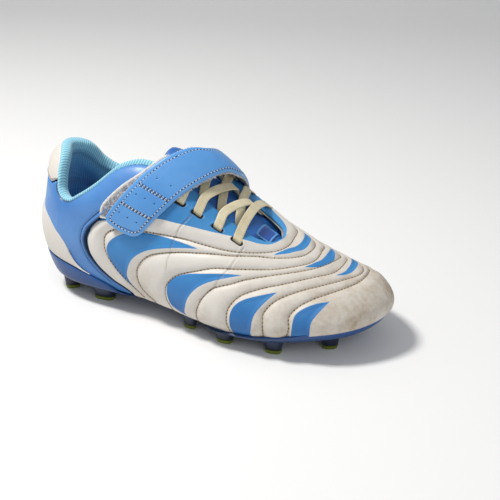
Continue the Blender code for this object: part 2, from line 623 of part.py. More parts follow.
def cut_eyelets(target_names):
    """Slots for the lace, long along the throat edge."""
    for n, k in enumerate(EYELET_ROWS):
        for side, p in (("outer", k), ("inner", STATIONS - k)):
            centre, up = skin(p, EYELET_T, -1.0), Vector(outward(p, EYELET_T))
            along = Vector(on_last(p + .01, EYELET_T) - on_last(p - .01, EYELET_T)).normalized()
            turn = Matrix((along, up.cross(along), up)).transposed().to_4x4()
            bm = bmesh.new()
            bmesh.ops.create_cube(bm, size=MM, matrix=Matrix.Diagonal((EYELET_LENGTH, EYELET_WIDTH, 6, 1)))
            slot = new_object(f"eyelet_{side}_{n}", bm, WHITE, CUTTERS)
            slot.matrix_world = Matrix.Translation(Vector(to_world(centre))) @ turn
            slot.hide_render = True
            slot.display_type = "WIRE"
            for name in target_names:
                cut = bpy.data.objects[name].modifiers.new(f"eyelet_{side}_{n}", "BOOLEAN")
                cut.operation = "DIFFERENCE"
                cut.object = slot


# ---- strap: anchor, band, tab, backing, hook pad and loop pad
STRAP = 1.5
STRAP_REAR = [(3.12, .60, 4.4), (3.25, .665, 4.4), (3.45, .74, 4.5), (3.68, .82, 4.8), (3.9, .885, 5.6),
              (4.15, .95, 7.6), (15.6, .99, 9.2), (15.5, .93, 9.0), (15.5, .86, 7.4), (15.5, .78, 4.8),
              (15.5, .70, 2.6), (15.5, .60, 2.0), (15.5, .50, 1.9)]
STRAP_FRONT = [(3.98, .535, 4.4), (4.15, .61, 4.4), (4.35, .69, 4.5), (4.56, .782, 4.8), (4.75, .86, 6.2),
               (4.95, .94, 9.0), (14.9, .99, 10.6), (14.7, .93, 10.0), (14.65, .86, 8.0), (14.6, .78, 5.2),
               (14.6, .70, 2.8), (14.6, .60, 2.0), (14.6, .50, 1.9)]
STEPS_PER_SPAN = 3
TAB_END = 8                            # step along the strap where the tab's joint is
BAND_END = 30                          # step where the band leaves its sewn anchor


def strap_edges():
    rear = smooth_route([skin(p, t, d) for p, t, d in STRAP_REAR], STEPS_PER_SPAN)
    front = smooth_route([skin(p, t, d) for p, t, d in STRAP_FRONT], STEPS_PER_SPAN)
    return rear, front


def strap_grid(first, last, start=0.0, end=1.0, sink=0.0):
    """Rows along the strap between two steps, seven of them from its front edge back, facing outward."""
    rear, front = strap_edges()
    rows = []
    across = front - rear
    along = np.gradient((rear + front) / 2, axis=0)
    up = np.cross(across, along)
    up /= np.linalg.norm(up, axis=1, keepdims=True)
    for share in np.linspace(end, start, 7):
        crown = .8 * math.sin(math.pi * share)
        rows.append((rear + across * share + up * (crown + sink))[first:last + 1])
    return np.array(rows)


def trimmed(points, cut_start, cut_end):
    """The strap's rows shortened at each end by a length, for the gap at a joint."""
    out = points.copy()
    for end, step, cut in ((0, 1, cut_start), (-1, -2, cut_end)):
        way = points[:, step] - points[:, end]
        out[:, end] += way / np.linalg.norm(way, axis=1, keepdims=True) * cut
    return out


def make_strap():
    tab = round_corners(trimmed(strap_grid(0, TAB_END), 0, GAP / 2))
    sheet("strap_tab", tab, STRAP, BLUE)
    sheet("strap_band", trimmed(strap_grid(TAB_END, BAND_END), GAP / 2, GAP / 2), STRAP, BLUE)
    sheet("strap_anchor", trimmed(strap_grid(BAND_END, 36), GAP / 2, 0), STRAP, BLUE)
    hook = trimmed(strap_grid(0, TAB_END, .08, .92, -STRAP - GAP), 1.5, 1.0)
    sheet("hook_pad", hook, .9, PILE)
    back = trimmed(strap_grid(TAB_END, BAND_END - 2, .04, .96, -STRAP - GAP), 1.0, 0)
    sheet("strap_backing", back, .8, PILE)
    rear = smooth_route([(2.98, .625, 0), (3.12, .70, 0), (3.41, .775, 0), (3.62, .835, 0)], 3)
    front = smooth_route([(3.72, .56, 0), (3.95, .64, 0), (4.22, .74, 0), (4.32, .80, 0)], 3)
    share = np.linspace(1, 0, 7)[:, None, None]
    where = rear * (1 - share) + front * share
    sheet("loop_pad", skin(where[..., 0], where[..., 1], np.full(where.shape[:2], GAP + .9)), .9, PILE)


def round_corners(tab):
    """Pulls the two corners of the strap's free end back to a curve."""
    out = tab.copy()
    for i in range(len(tab)):
        side = abs(2 * i / (len(tab) - 1) - 1)
        for step in range(4):
            out[i, step] += (tab[i, 4] - tab[i, 0]) * .5 * side ** 4 * (1 - step / 4)
    return out


# ---- joints: each moving piece keeps its origin on its axis
HINGE_RISE = 1.0                       # the strap's fold lines lie this far above its face


def place_origin(names, point):
    """Moves the origin of some pieces to a point, leaving their shape where it is."""
    there = Vector(to_world(point))
    for name in names:
        obj = bpy.data.objects[name]
        obj.data.transform(Matrix.Translation(-there))
        obj.location = there


def place_joints():
    band_fold = strap_grid(BAND_END, BAND_END, sink=HINGE_RISE)[:, 0]
    tab_fold = strap_grid(TAB_END, TAB_END, sink=HINGE_RISE)[:, 0]
    place_origin(("strap_band", "strap_backing"), (band_fold[0] + band_fold[-1]) / 2)
    place_origin(("strap_tab", "hook_pad"), (tab_fold[0] + tab_fold[-1]) / 2)
    tongue_root = skin(TONGUE_EDGE[-1][0], 1.0, TONGUE_TOP)
    place_origin(("tongue_shell", "tongue_foam", "tongue_lining", "tongue_patch"), tongue_root)


make_vamp()
make_quarter("quarter_outer", -1)
make_quarter("quarter_inner", 1)
make_heel_pieces()
make_vamp_layers()
make_collar()
make_footbed()
make_plate()
make_tongue()
make_lace()
cut_eyelets(("vamp", "throat_facing"))
make_strap()
place_joints()
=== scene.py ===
import math

import bpy
import numpy as np
from mathutils import Matrix, Vector
from mathutils.kdtree import KDTree


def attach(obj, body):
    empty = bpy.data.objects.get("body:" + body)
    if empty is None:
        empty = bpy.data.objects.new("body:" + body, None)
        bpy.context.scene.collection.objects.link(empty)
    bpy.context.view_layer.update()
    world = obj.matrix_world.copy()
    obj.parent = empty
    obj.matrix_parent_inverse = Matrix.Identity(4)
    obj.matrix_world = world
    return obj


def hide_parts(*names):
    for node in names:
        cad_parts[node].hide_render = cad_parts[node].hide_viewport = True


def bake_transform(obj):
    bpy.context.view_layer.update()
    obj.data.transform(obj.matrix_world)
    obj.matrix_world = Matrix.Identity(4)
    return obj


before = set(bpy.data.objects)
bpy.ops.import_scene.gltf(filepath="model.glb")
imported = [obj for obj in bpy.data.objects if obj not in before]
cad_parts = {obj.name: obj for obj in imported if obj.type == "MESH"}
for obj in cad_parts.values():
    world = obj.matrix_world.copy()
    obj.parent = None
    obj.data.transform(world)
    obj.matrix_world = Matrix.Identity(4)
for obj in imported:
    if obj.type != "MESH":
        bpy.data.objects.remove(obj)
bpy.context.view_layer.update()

# ---------------------------------------------------------------- studio
# A pale seamless floor that turns up into a backdrop, a broad soft lamp high at the heel side, a large
# weak one in front and pale surroundings.  The camera stands at the outer side, a little towards the heel.
MM = 0.001
CENTRE = np.array((114.02, -0.11, 0.0))      # the cleat's middle on the ground, in millimetres


def to_frame(points):
    return (np.asarray(points, float) - CENTRE) * MM


def new_mesh(name, verts, faces, material, smooth_to=40):
    mesh = bpy.data.meshes.new(name)
    mesh.from_pydata(np.asarray(verts, float).tolist(), [], faces)
    mesh.validate()
    mesh.shade_smooth()
    mesh.set_sharp_from_angle(angle=math.radians(smooth_to))
    if material:
        mesh.materials.append(material)
    obj = bpy.data.objects.new(name, mesh)
    bpy.context.scene.collection.objects.link(obj)
    return obj


def node(tree, kind, inputs=None, **settings):
    """A shader node with its settings, and its inputs given as values or as other nodes' outputs."""
    made = tree.nodes.new("ShaderNode" + kind)
    for key, value in settings.items():
        setattr(made, key, value)
    for key, value in (inputs or {}).items():
        if isinstance(value, bpy.types.NodeSocket):
            tree.links.new(value, made.inputs[key])
        else:
            made.inputs[key].default_value = value
    return made


def noise(tree, at, scale, detail=2.0, roughness=0.5):
    """Uneven grey patches over the surface, as a number from 0 to 1."""
    values = {"Vector": at, "Scale": scale, "Detail": detail, "Roughness": roughness}
    return node(tree, "TexNoise", values).outputs["Fac"]


def ranged(tree, value, low, high, a=0.0, b=1.0):
    """A number moved from low..high to a..b, and held within it."""
    return node(tree, "MapRange", {0: value, 1: low, 2: high, 3: a, 4: b}).outputs[0]


def new_finish(name, roughness=0.5, **sockets):
    finish = bpy.data.materials.new(name)
    finish.use_nodes = True
    shader = finish.node_tree.nodes["Principled BSDF"]
    shader.inputs["Roughness"].default_value = roughness
    for key, value in sockets.items():
        shader.inputs[key.replace("_", " ")].default_value = value
    return finish, finish.node_tree, shader


def srgb(r, g, b):
    return tuple(((c / 255 + 0.055) / 1.055) ** 2.4 if c > 10 else c / 3294 for c in (r, g, b)) + (1.0,)


def make_stage():
    profile = [(-1.5, 0.0), (0.9, 0.0), (1.2, 0.04), (1.42, 0.18), (1.55, 0.45), (1.6, 0.9), (1.6, 1.8)]
    turn = math.radians(22)
    verts, faces = [], []
    for side in (-2.2, 2.2):
        for away, high in profile:
            verts.append((-side * math.cos(turn) - away * math.sin(turn), -side * math.sin(turn)
                          + away * math.cos(turn), high - 0.0002))
    n = len(profile)
    for i in range(n - 1):
        faces.append((i, n + i, n + i + 1, i + 1))
    finish, tree, shader = new_finish("pale_floor", 0.9)
    speck = node(tree, "TexNoise", {"Scale": 4.0, "Detail": 3.0})
    tone = node(tree, "ValToRGB", {"Fac": speck.outputs["Fac"]})
    tone.color_ramp.elements[0].color = (0.84, 0.84, 0.84, 1)
    tone.color_ramp.elements[1].color = (0.88, 0.88, 0.875, 1)
    tree.links.new(tone.outputs["Color"], shader.inputs["Base Color"])
    new_mesh("floor", verts, faces, finish, 80)


make_stage()


def soft_lamp(name, place, aim, size, watts, tint):
    lamp = bpy.data.lights.new(name, "AREA")
    lamp.shape, lamp.size, lamp.energy, lamp.color = "DISK", size, watts, tint
    obj = bpy.data.objects.new(name, lamp)
    bpy.context.scene.collection.objects.link(obj)
    obj.location = place
    obj.rotation_euler = (Vector(aim) - Vector(place)).to_track_quat("-Z", "Y").to_euler()


soft_lamp("key_lamp", (-0.42, -0.20, 0.95), (0.02, 0, 0.04), 0.22, 9.6, (1.0, 0.98, 0.95))
soft_lamp("front_lamp", (0.75, -0.75, 0.75), (0.0, 0, 0.04), 0.7, 2.6, (0.97, 0.98, 1.0))
world = bpy.data.worlds.new("pale_room")
bpy.context.scene.world = world
world.use_nodes = True
world.node_tree.nodes["Background"].inputs["Color"].default_value = (0.95, 0.97, 1.0, 1)
world.node_tree.nodes["Background"].inputs["Strength"].default_value = 0.36

AZIMUTH, ELEVATION, ROLL = math.radians(22.29), math.radians(24.51), math.radians(2.13)
AIM = Vector(to_frame((136.26, 8.27, 39.49)))
DISTANCE = 0.600
back = Vector((math.sin(AZIMUTH) * math.cos(ELEVATION), -math.cos(AZIMUTH) * math.cos(ELEVATION),
               math.sin(ELEVATION)))
right = Vector((math.cos(AZIMUTH), math.sin(AZIMUTH), 0))
up = back.cross(right)
rolled_right = right * math.cos(ROLL) + up * math.sin(ROLL)
rolled_up = up * math.cos(ROLL) - right * math.sin(ROLL)
lens = bpy.data.cameras.new("camera")
lens.sensor_width, lens.lens = 36.0, 70.74
camera = bpy.data.objects.new("camera", lens)
bpy.context.scene.collection.objects.link(camera)
camera.matrix_world = Matrix((rolled_right, rolled_up, back)).transposed().to_4x4()
camera.location = AIM + back * DISTANCE
bpy.context.scene.camera = camera
bpy.context.scene.view_settings.view_transform = "Standard"

# ---------------------------------------------------------------- quilted vamp
# One piece of grained off-white synthetic from the toe back to the quarters, foam behind it, sewn down
# in seven nested rows round the throat and printed with blue flames.  It is stretched over the last and
# glued under the foot, so its shape is the last's: station p round the shoe, t up the wall, depth d.
STATIONS, ROWS = 20, 6
SKIN = 1.3
OUTER = [
    [(9, 0, 15), (4, 0, 28), (1.5, 0, 47), (4, 0, 68), (10, 0, 90), (44, 0, 108)],
    [(14, -17, 15), (10.5, -20, 28), (8.5, -20.5, 47), (10.5, -18.5, 66), (17, -14, 87), (48, 0, 109)],
    [(32, -28, 14), (31, -30.5, 27), (30, -31.5, 43), (31, -30, 59), (36, -24, 80), (57, 0, 110)],
    [(59, -31, 14), (59, -34, 27), (58, -35.5, 44), (58.5, -34, 62), (62, -28, 83), (75, 0, 110)],
    [(88, -33.5, 13.5), (87, -36, 27), (87, -36.5, 45), (88, -34, 64), (91, -26, 86), (95, 0, 102)],
    [(118, -39, 12), (117.5, -42, 23), (116, -39, 41), (115, -34, 58), (115, -22.5, 74.5), (116, 0, 85)],
    [(145, -43.5, 11), (146, -46, 21), (143.5, -42.5, 35), (141, -34, 48.5), (139, -20.5, 60.5),
     (138, 1, 68.5)],
    [(172, -41.5, 12), (173, -44, 21), (170, -39.5, 32), (166, -31, 41.5), (162, -17, 50.5), (160, 2, 55)],
    [(197, -33, 15), (198, -35.5, 22.5), (195, -32, 31), (190, -24, 38.5), (184, -12, 44.5), (181, 3, 47.5)],
    [(215, -18.5, 17), (217, -19.5, 24), (214, -17.5, 31.5), (208, -12, 37.5), (200, -5, 41.5), (196, 4, 43)],
    [(223.5, 4, 19), (226.5, 4, 25.5), (223.5, 4, 32), (216.5, 4, 37.5), (208, 4, 41), (201, 4, 42.3)],
]
INNER = [
    [(14, 17, 15), (10.5, 20, 28), (8.5, 20.5, 47), (10.5, 18.5, 66), (17, 14, 87), (48, 0, 109)],
    [(32, 27, 14.5), (31, 30, 27), (30, 31, 43), (31, 29, 59), (36, 23, 80), (57, 0, 110)],
    [(59, 26, 15), (58.5, 30, 28), (57.5, 32, 45), (58.5, 31, 62), (62, 26, 83), (75, 0, 110)],
    [(88, 26, 15.5), (87, 31.5, 29), (87, 34, 47), (88, 32.5, 66), (91, 25, 88), (95, 0, 102)],
    [(118, 33, 14.5), (117, 38.5, 27), (116, 38.5, 43), (115, 34, 61), (115, 23, 77.5), (116, 0, 85)],
    [(145, 40.5, 13.5), (145, 44.5, 24), (143, 43, 38), (141, 35.5, 52), (139, 21.5, 64), (138, 1, 68.5)],
    [(171, 42, 13.5), (171.5, 45.5, 22.5), (169, 43, 33), (165, 34.5, 43.5), (162, 20, 52.5), (160, 2, 55)],
    [(195, 37, 15), (196.5, 40, 22.5), (193.5, 37, 31), (189, 29, 38.5), (184, 17, 45), (181, 3, 47.5)],
    [(214, 24.5, 17), (216, 26.5, 24), (213, 24.5, 31.5), (208, 19, 37.5), (200, 12, 41.5), (196, 4, 43)],
]
COLLAR_OUTER = [(0, .82), (.6, .82), (.85, .815), (1.15, .795), (1.5, .735), (1.65, .69), (1.85, .672),
                (2.05, .682), (2.3, .725), (2.6, .775), (3, .845), (3.4, .86), (4.5, .86), (6.3, .862),
                (6.7, .885), (6.9, .93), (7, 1), (10, 1)]
COLLAR_INNER = [(0, .82), (.6, .82), (1, .815), (1.3, .80), (1.7, .76), (2.2, .73), (2.6, .725), (3, .735),
                (3.4, .765), (3.8, .80), (4.2, .84), (4.5, .86), (6.3, .862), (6.7, .885), (6.9, .93),
                (7, 1), (10, 1)]
QUARTER_FRONT = [(0, 3.62), (.03, 3.53), (.12, 3.15), (.25, 2.80), (.37, 2.64), (.47, 2.60), (.56, 2.70),
                 (.61, 2.97), (.72, 3.5), (.86, 4.2)]


def through(points, x):
    """The height at x of a smooth curve through the points, which never overshoots them."""
    xs = np.array([a for a, _ in points], float)
    ys = np.array([b for _, b in points], float)
    x = np.clip(x, xs[0], xs[-1])
    slope = np.diff(ys) / np.diff(xs)
    same = slope[1:] * slope[:-1] > 0
    inner = np.where(same, 2 * slope[1:] * slope[:-1] / np.where(same, slope[1:] + slope[:-1], 1), 0)
    m = np.concatenate([[0], inner, [0]])
    i = np.clip(np.searchsorted(xs, x, side="right") - 1, 0, len(xs) - 2)
    h = xs[i + 1] - xs[i]
    u = (x - xs[i]) / h
    return ((1 + 2 * u) * (1 - u) ** 2 * ys[i] + u * (1 - u) ** 2 * h * m[i]
            + u * u * (3 - 2 * u) * ys[i + 1] + u * u * (u - 1) * h * m[i + 1])


def fold(p):
    p = np.asarray(p, float) % STATIONS
    return np.minimum(p, STATIONS - p)


def last_grid():
    rows = np.array(OUTER + INNER[::-1], float)
    beyond = []
    for i in range(STATIONS):
        k = int(fold(i))
        if k == 10:
            beyond.append(rows[9][5])
        elif k < 2:
            beyond.append(2 * rows[i][5] - rows[i][4])
        else:
            beyond.append(rows[STATIONS - i][4])
    rows = np.concatenate([rows, np.array(beyond)[:, None]], 1)
    n, m = STATIONS, ROWS + 1
    ring = np.zeros((n, n))
    for i in range(n):
        ring[i, (i - 1) % n], ring[i, i], ring[i, (i + 1) % n] = 1 / 6, 4 / 6, 1 / 6
    control = np.linalg.solve(ring, rows.reshape(n, -1)).reshape(rows.shape)
    wall = np.zeros((m + 2, m + 2))
    for i in range(m):
        wall[i + 1, i:i + 3] = (1 / 6, 4 / 6, 1 / 6)
    wall[0, :3] = wall[-1, -3:] = (1, -2, 1)
    target = np.zeros((m + 2, n, 3))
    target[1:-1] = np.moveaxis(control, 1, 0)
    return np.moveaxis(np.linalg.solve(wall, target.reshape(m + 2, -1)).reshape(target.shape), 0, 1)


CONTROL = last_grid()


def weights(f):
    return ((1 - f) ** 3 / 6, (3 * f ** 3 - 6 * f ** 2 + 4) / 6,
            (-3 * f ** 3 + 3 * f ** 2 + 3 * f + 1) / 6, f ** 3 / 6)


def on_last(p, t):
    p, t = np.broadcast_arrays(np.asarray(p, float) % STATIONS,
                               np.clip(np.asarray(t, float), 0, 1) * (ROWS - 1))
    i = np.floor(p).astype(int)
    j = np.minimum(np.floor(t).astype(int), ROWS - 2)
    wp, wt = weights(p - i), weights(t - j)
    out = np.zeros(p.shape + (3,))
    for a in range(4):
        for b in range(4):
            out += (wp[a] * wt[b])[..., None] * CONTROL[(i + a - 1) % STATIONS, j + b]
    return out


def outward(p, t):
    p, t = np.broadcast_arrays(np.asarray(p, float), np.clip(np.asarray(t, float), .001, .999))

    def raw(q, s):
        n = np.cross(on_last(q + .001, s) - on_last(q - .001, s), on_last(q, s + .001) - on_last(q, s - .001))
        return n / np.linalg.norm(n, axis=-1, keepdims=True)

    near = np.clip((t - .9) / .09, 0, 1)[..., None]
    ridge = raw(p, np.full_like(t, .999)) + raw(STATIONS - p, np.full_like(t, .999))
    ridge /= np.linalg.norm(ridge, axis=-1, keepdims=True)
    n = raw(p, t) * (1 - near) + ridge * near
    return n / np.linalg.norm(n, axis=-1, keepdims=True)


def skin(p, t, d=0.0):
    return on_last(p, t) + np.asarray(d, float)[..., None] * outward(p, t)


def collar(p):
    side = np.asarray(p, float) % STATIONS
    return np.where(side <= 10, through(COLLAR_OUTER, fold(p)), through(COLLAR_INNER, fold(p)))


def spine(p):
    edge, twin = on_last(p, 0.0), on_last(STATIONS - np.asarray(p, float), 0.0)
    x = np.clip(((edge + twin) / 2)[..., 0], 32, 199)
    y = np.interp(x, (32, 120, 199), (0, -1.5, 4))
    z = np.interp(x, (32, 90, 125, 170, 199), (15, 15, 12.5, 13, 17))
    return np.stack([x, y, z], -1)


def inset(p, k, dz):
    """A point k in from the feather edge towards the middle of the sole, dz above the feather edge."""
    edge, mid = on_last(p, 0.0), spine(p)
    flat = (mid - edge) * (1, 1, 0)
    long = np.linalg.norm(flat, axis=-1)
    k = np.broadcast_to(k, long.shape)
    out = edge + flat / long[..., None] * k[..., None]
    share = k / long
    out[..., 2] = edge[..., 2] * (1 - share) + mid[..., 2] * share + dz
    return out


def shell(name, top, under, material, wrap=False, layers=None, smooth_to=40):
    """A closed piece between two matching grids of points in millimetres, welded where points coincide.
    layers are numbers for each point of the grids, kept on the mesh for its finish."""
    rows, cols = top.shape[:2]
    flat = top.reshape(-1, 3)
    _, first, where = np.unique(np.round(flat, 3), axis=0, return_index=True, return_inverse=True)
    where = where.reshape(rows, cols)
    n = len(first)
    if wrap:
        where = np.concatenate([where, where[:, :1]], 1)
    quads = np.stack([where[:-1, :-1], where[:-1, 1:], where[1:, 1:], where[1:, :-1]], -1).reshape(-1, 4)
    faces = []
    for quad in quads.tolist():
        ring = [v for i, v in enumerate(quad) if v != quad[i - 1]]
        if len(set(ring)) >= 3 and len(set(ring)) == len(ring):
            faces.append(ring)
    once = {}
    for ring in faces:
        for a, b in zip(ring, ring[1:] + ring[:1]):
            if (b, a) in once:
                del once[(b, a)]
            else:
                once[(a, b)] = True
    back_faces = [[v + n for v in ring[::-1]] for ring in faces]
    rim = [[b, a, a + n, b + n] for a, b in once]
    verts = np.concatenate([flat[first], under.reshape(-1, 3)[first]])
    obj = new_mesh(name, to_frame(verts), faces + back_faces + rim, material, smooth_to)
    for key, values in (layers or {}).items():
        values = np.asarray(values, float).ravel()[first]
        held = obj.data.attributes.new(key, "FLOAT", "POINT")
        held.data.foreach_set("value", np.concatenate([values, values]).astype(np.float32))
    return obj


def smooth_route(points, per_span):
    """A Catmull-Rom curve through the points."""
    q = np.array(points, float)
    q = np.concatenate([[2 * q[0] - q[1]], q, [2 * q[-1] - q[-2]]])
    out = []
    for i in range(1, len(q) - 2):
        for s in np.arange(per_span) / per_span:
            a, b, c, d = q[i - 1:i + 3]
            out.append(.5 * (2 * b + (c - a) * s + (2 * a - 5 * b + 4 * c - d) * s ** 2
                             + (3 * b - a - 3 * c + d) * s ** 3))
    out.append(q[-2])
    return np.array(out)


def even(points, step):
    """The same line with its points a step apart."""
    along = np.concatenate([[0], np.cumsum(np.linalg.norm(np.diff(points, axis=0), axis=1))])
    s = np.linspace(0, along[-1], max(2, int(round(along[-1] / step)) + 1))
    return np.stack([np.interp(s, along, points[:, i]) for i in range(points.shape[1])], 1)


def line_on_last(places, step=.3):
    """A smooth line over the last through (p, t) places, its points a step apart."""
    return even(smooth_route([on_last(p, t) for p, t in places], 24), step)


def near(points, cloud):
    """The distance from each point to a cloud of points, and which one is nearest."""
    tree = KDTree(len(cloud))
    for i, c in enumerate(cloud):
        tree.insert(c, i)
    tree.balance()
    found = [tree.find(q)[1:] for q in points.reshape(-1, 3).tolist()]
    which, far = zip(*found)
    return np.array(far).reshape(points.shape[:-1]), np.array(which).reshape(points.shape[:-1])


def from_border(grid, lines=(), step=.3):
    """How far each point of a grid is from the grid's border, or from the given lines."""
    lines = lines or (grid[0], grid[-1], grid[:, 0], grid[:, -1])
    return near(grid, np.concatenate([even(line, step) for line in lines]))[0]


def within(u, v, outline):
    """Which of the places (u, v) are inside a closed outline."""
    found = np.zeros(u.shape, bool)
    for (a, b), (c, d) in zip(outline, np.roll(outline, -1, axis=0)):
        if b != d:
            found ^= ((b > v) != (d > v)) & (u < (c - a) * (v - b) / (d - b) + a)
    return found


# Rows of quilting: up the outer side from the sole as (station, t), then over the top; the inner side matches
SEAMS = [
    ([(3.92, .02), (3.48, .173), (3.20, .29), (3.08, .39), (3.12, .485), (3.45, .53), (4.04, .545),
      (4.53, .57), (4.95, .60), (5.41, .635), (5.95, .688), (6.44, .753), (6.91, .83)],
     [(7.19, .927), (12.8, .95)]),
    ([(4.20, .01), (3.95, .10), (3.84, .20), (3.88, .30), (4.14, .398), (4.69, .48), (5.26, .557),
      (5.65, .615), (6.05, .67), (6.58, .748), (6.95, .787), (7.45, .863)], [(7.73, .953), (12.28, .888)]),
    ([(4.62, .005), (4.53, .128), (4.55, .245), (4.79, .345), (5.30, .445), (5.70, .525), (6.19, .595),
      (7.0, .703), (7.66, .815)], [(8.02, .92), (12.03, .893)]),
    ([(5.26, 0), (5.24, .083), (5.29, .198), (5.46, .307), (5.69, .388), (6.08, .47), (6.43, .55),
      (7.01, .657), (7.68, .763)], [(8.33, .90), (11.66, .765)]),
    ([(6.12, 0), (6.04, .06), (5.98, .188), (6.06, .302), (6.34, .417), (6.86, .537), (7.35, .625),
      (8.05, .74)], [(8.81, .87), (11.49, .735)]),
    ([(6.82, 0), (6.80, .1), (6.79, .23), (6.83, .323), (7.09, .44), (7.54, .557), (8.21, .662)],
     [(8.95, .745), (10.0, .80), (11.04, .657)]),
    ([(7.30, 0), (7.31, .10), (7.34, .195), (7.36, .315), (7.58, .42), (7.98, .522), (8.55, .603)],
     [(9.36, .685), (10.36, .698), (11.21, .52)]),
]
# Flames of the side, each as its rear edge down to the sole and its front edge back up to the tip
FLAMES = [
    [[(5.28, .588), (4.46, .555), (3.80, .527), (3.40, .485), (3.16, .40), (3.20, .29), (3.42, .185),
      (3.66, .105), (3.86, .04)],
     [(3.86, .04), (3.63, .18), (3.66, .275), (3.80, .36), (4.10, .432), (4.6, .50), (5.28, .588)]],
    [[(6.35, .57), (5.94, .522), (5.48, .455), (4.99, .38), (4.72, .32), (4.58, .25), (4.62, .16),
      (4.78, .08), (4.98, .015)],
     [(4.98, .015), (5.03, .15), (5.12, .255), (5.35, .35), (5.75, .45), (6.35, .57)]],
    [[(7.14, .522), (6.8, .463), (6.41, .393), (6.18, .32), (6.08, .23), (6.09, .12), (6.16, .0)],
     [(6.56, .0), (6.56, .165), (6.62, .28), (6.8, .378), (7.14, .522)]],
    [[(8.29, .478), (7.98, .458), (7.7, .408), (7.50, .34), (7.42, .25), (7.39, .13), (7.38, .0)],
     [(7.78, .0), (7.77, .12), (7.80, .25), (7.95, .345), (8.29, .478)]],
]
# Crescents over the toe, each as its rear edge and its front edge between the two tips
CRESCENTS = [
    [[(6.94, .802), (7.19, .893), (7.39, .983), (12.65, .888), (13.05, .71)],
     [(13.05, .71), (12.62, .815), (12.43, .905), (7.60, .985), (7.34, .878), (6.94, .802)]],
    [[(7.75, .802), (8.01, .878), (8.22, .988), (12.0, .80), (12.35, .66)],
     [(12.35, .66), (11.71, .84), (11.44, .978), (8.34, .897), (8.00, .833), (7.75, .802)]],
    [[(8.70, .782), (9.14, .865), (10.89, .85), (11.45, .70), (11.75, .58)],
     [(11.75, .58), (11.22, .69), (10.70, .80), (9.56, .873), (9.05, .80), (8.70, .782)]],
]
EYESTAY = [(2.4, .54), (3.3, .59), (4.24, .645), (4.60, .66), (4.98, .685), (5.38, .718), (5.91, .772),
           (6.30, .81), (6.58, .835), (6.83, .88), (6.99, .958), (7.02, 1.0)]
CREASES = [[(4.95, .805), (4.93, .733), (4.78, .647), (4.67, .547), (4.60, .425), (4.59, .355)],
           [(6.24, .75), (6.05, .59), (5.85, .48), (5.69, .39), (5.36, .268)]]
EYELET_ROWS = (4.61, 5.05, 5.56, 6.05)
EYELET_T = 0.764
EYELET_HALF, EYELET_ROUND = 2.6, 1.3   # half the slot between its round ends, and their radius
QUILT_RISE, QUILT_CREASE = 2.3, .25
CLEAR = 9.0                            # a distance that stands for far from any edge


def other_side(places):
    """The same places on the inner side, where the rows run a little lower towards the toe."""
    out = []
    for k, t in places:
        s = min(max((k - 5.5) / 2, 0), 1)
        out.append((STATIONS - k, max(0, t - .08 * s * s * (3 - 2 * s) * min(1, t / .3))))
    return out


def seam_lines():
    return [line_on_last(side + top + other_side(side)[::-1]) for side, top in SEAMS]


def flame_outline(sides):
    return np.concatenate([smooth_route(side, 16) for side in sides])


VAMP_COLS, VAMP_ROWS = 561, 125


def vamp_places():
    base = np.linspace(3, 17, VAMP_COLS)
    s = np.linspace(0, 1, VAMP_ROWS)[:, None]
    k = fold(base)
    shift = (through([(a, b) for a, b in QUARTER_FRONT], s * .86) - 3) * np.clip(1 - (k - 3) / 4, 0, 1)
    p = np.where(base <= 10, base + shift, base - shift)
    p = p + np.where(base <= 10, 1, -1) * .03 * np.clip(1 - (k - 3) / .2, 0, 1)
    return p, s * collar(p)


def edge_roll(distance, radius):
    """How far a rounded edge has dropped at a distance in from it."""
    x = np.clip(distance, 0, radius)
    return radius - np.sqrt(radius ** 2 - (radius - x) ** 2)


def pillow(d1, d2, height, crease):
    """The rise of padding between two rows of stitches at distances d1 and d2."""
    wide = np.clip(d1 + d2, 4, 15)
    s = np.clip(d1 / (wide * .5), 0, 1)
    return height * (wide / 15) ** .8 * (1 - (1 - s) ** 2.4) - crease * np.exp(-(d1 / .8) ** 2)


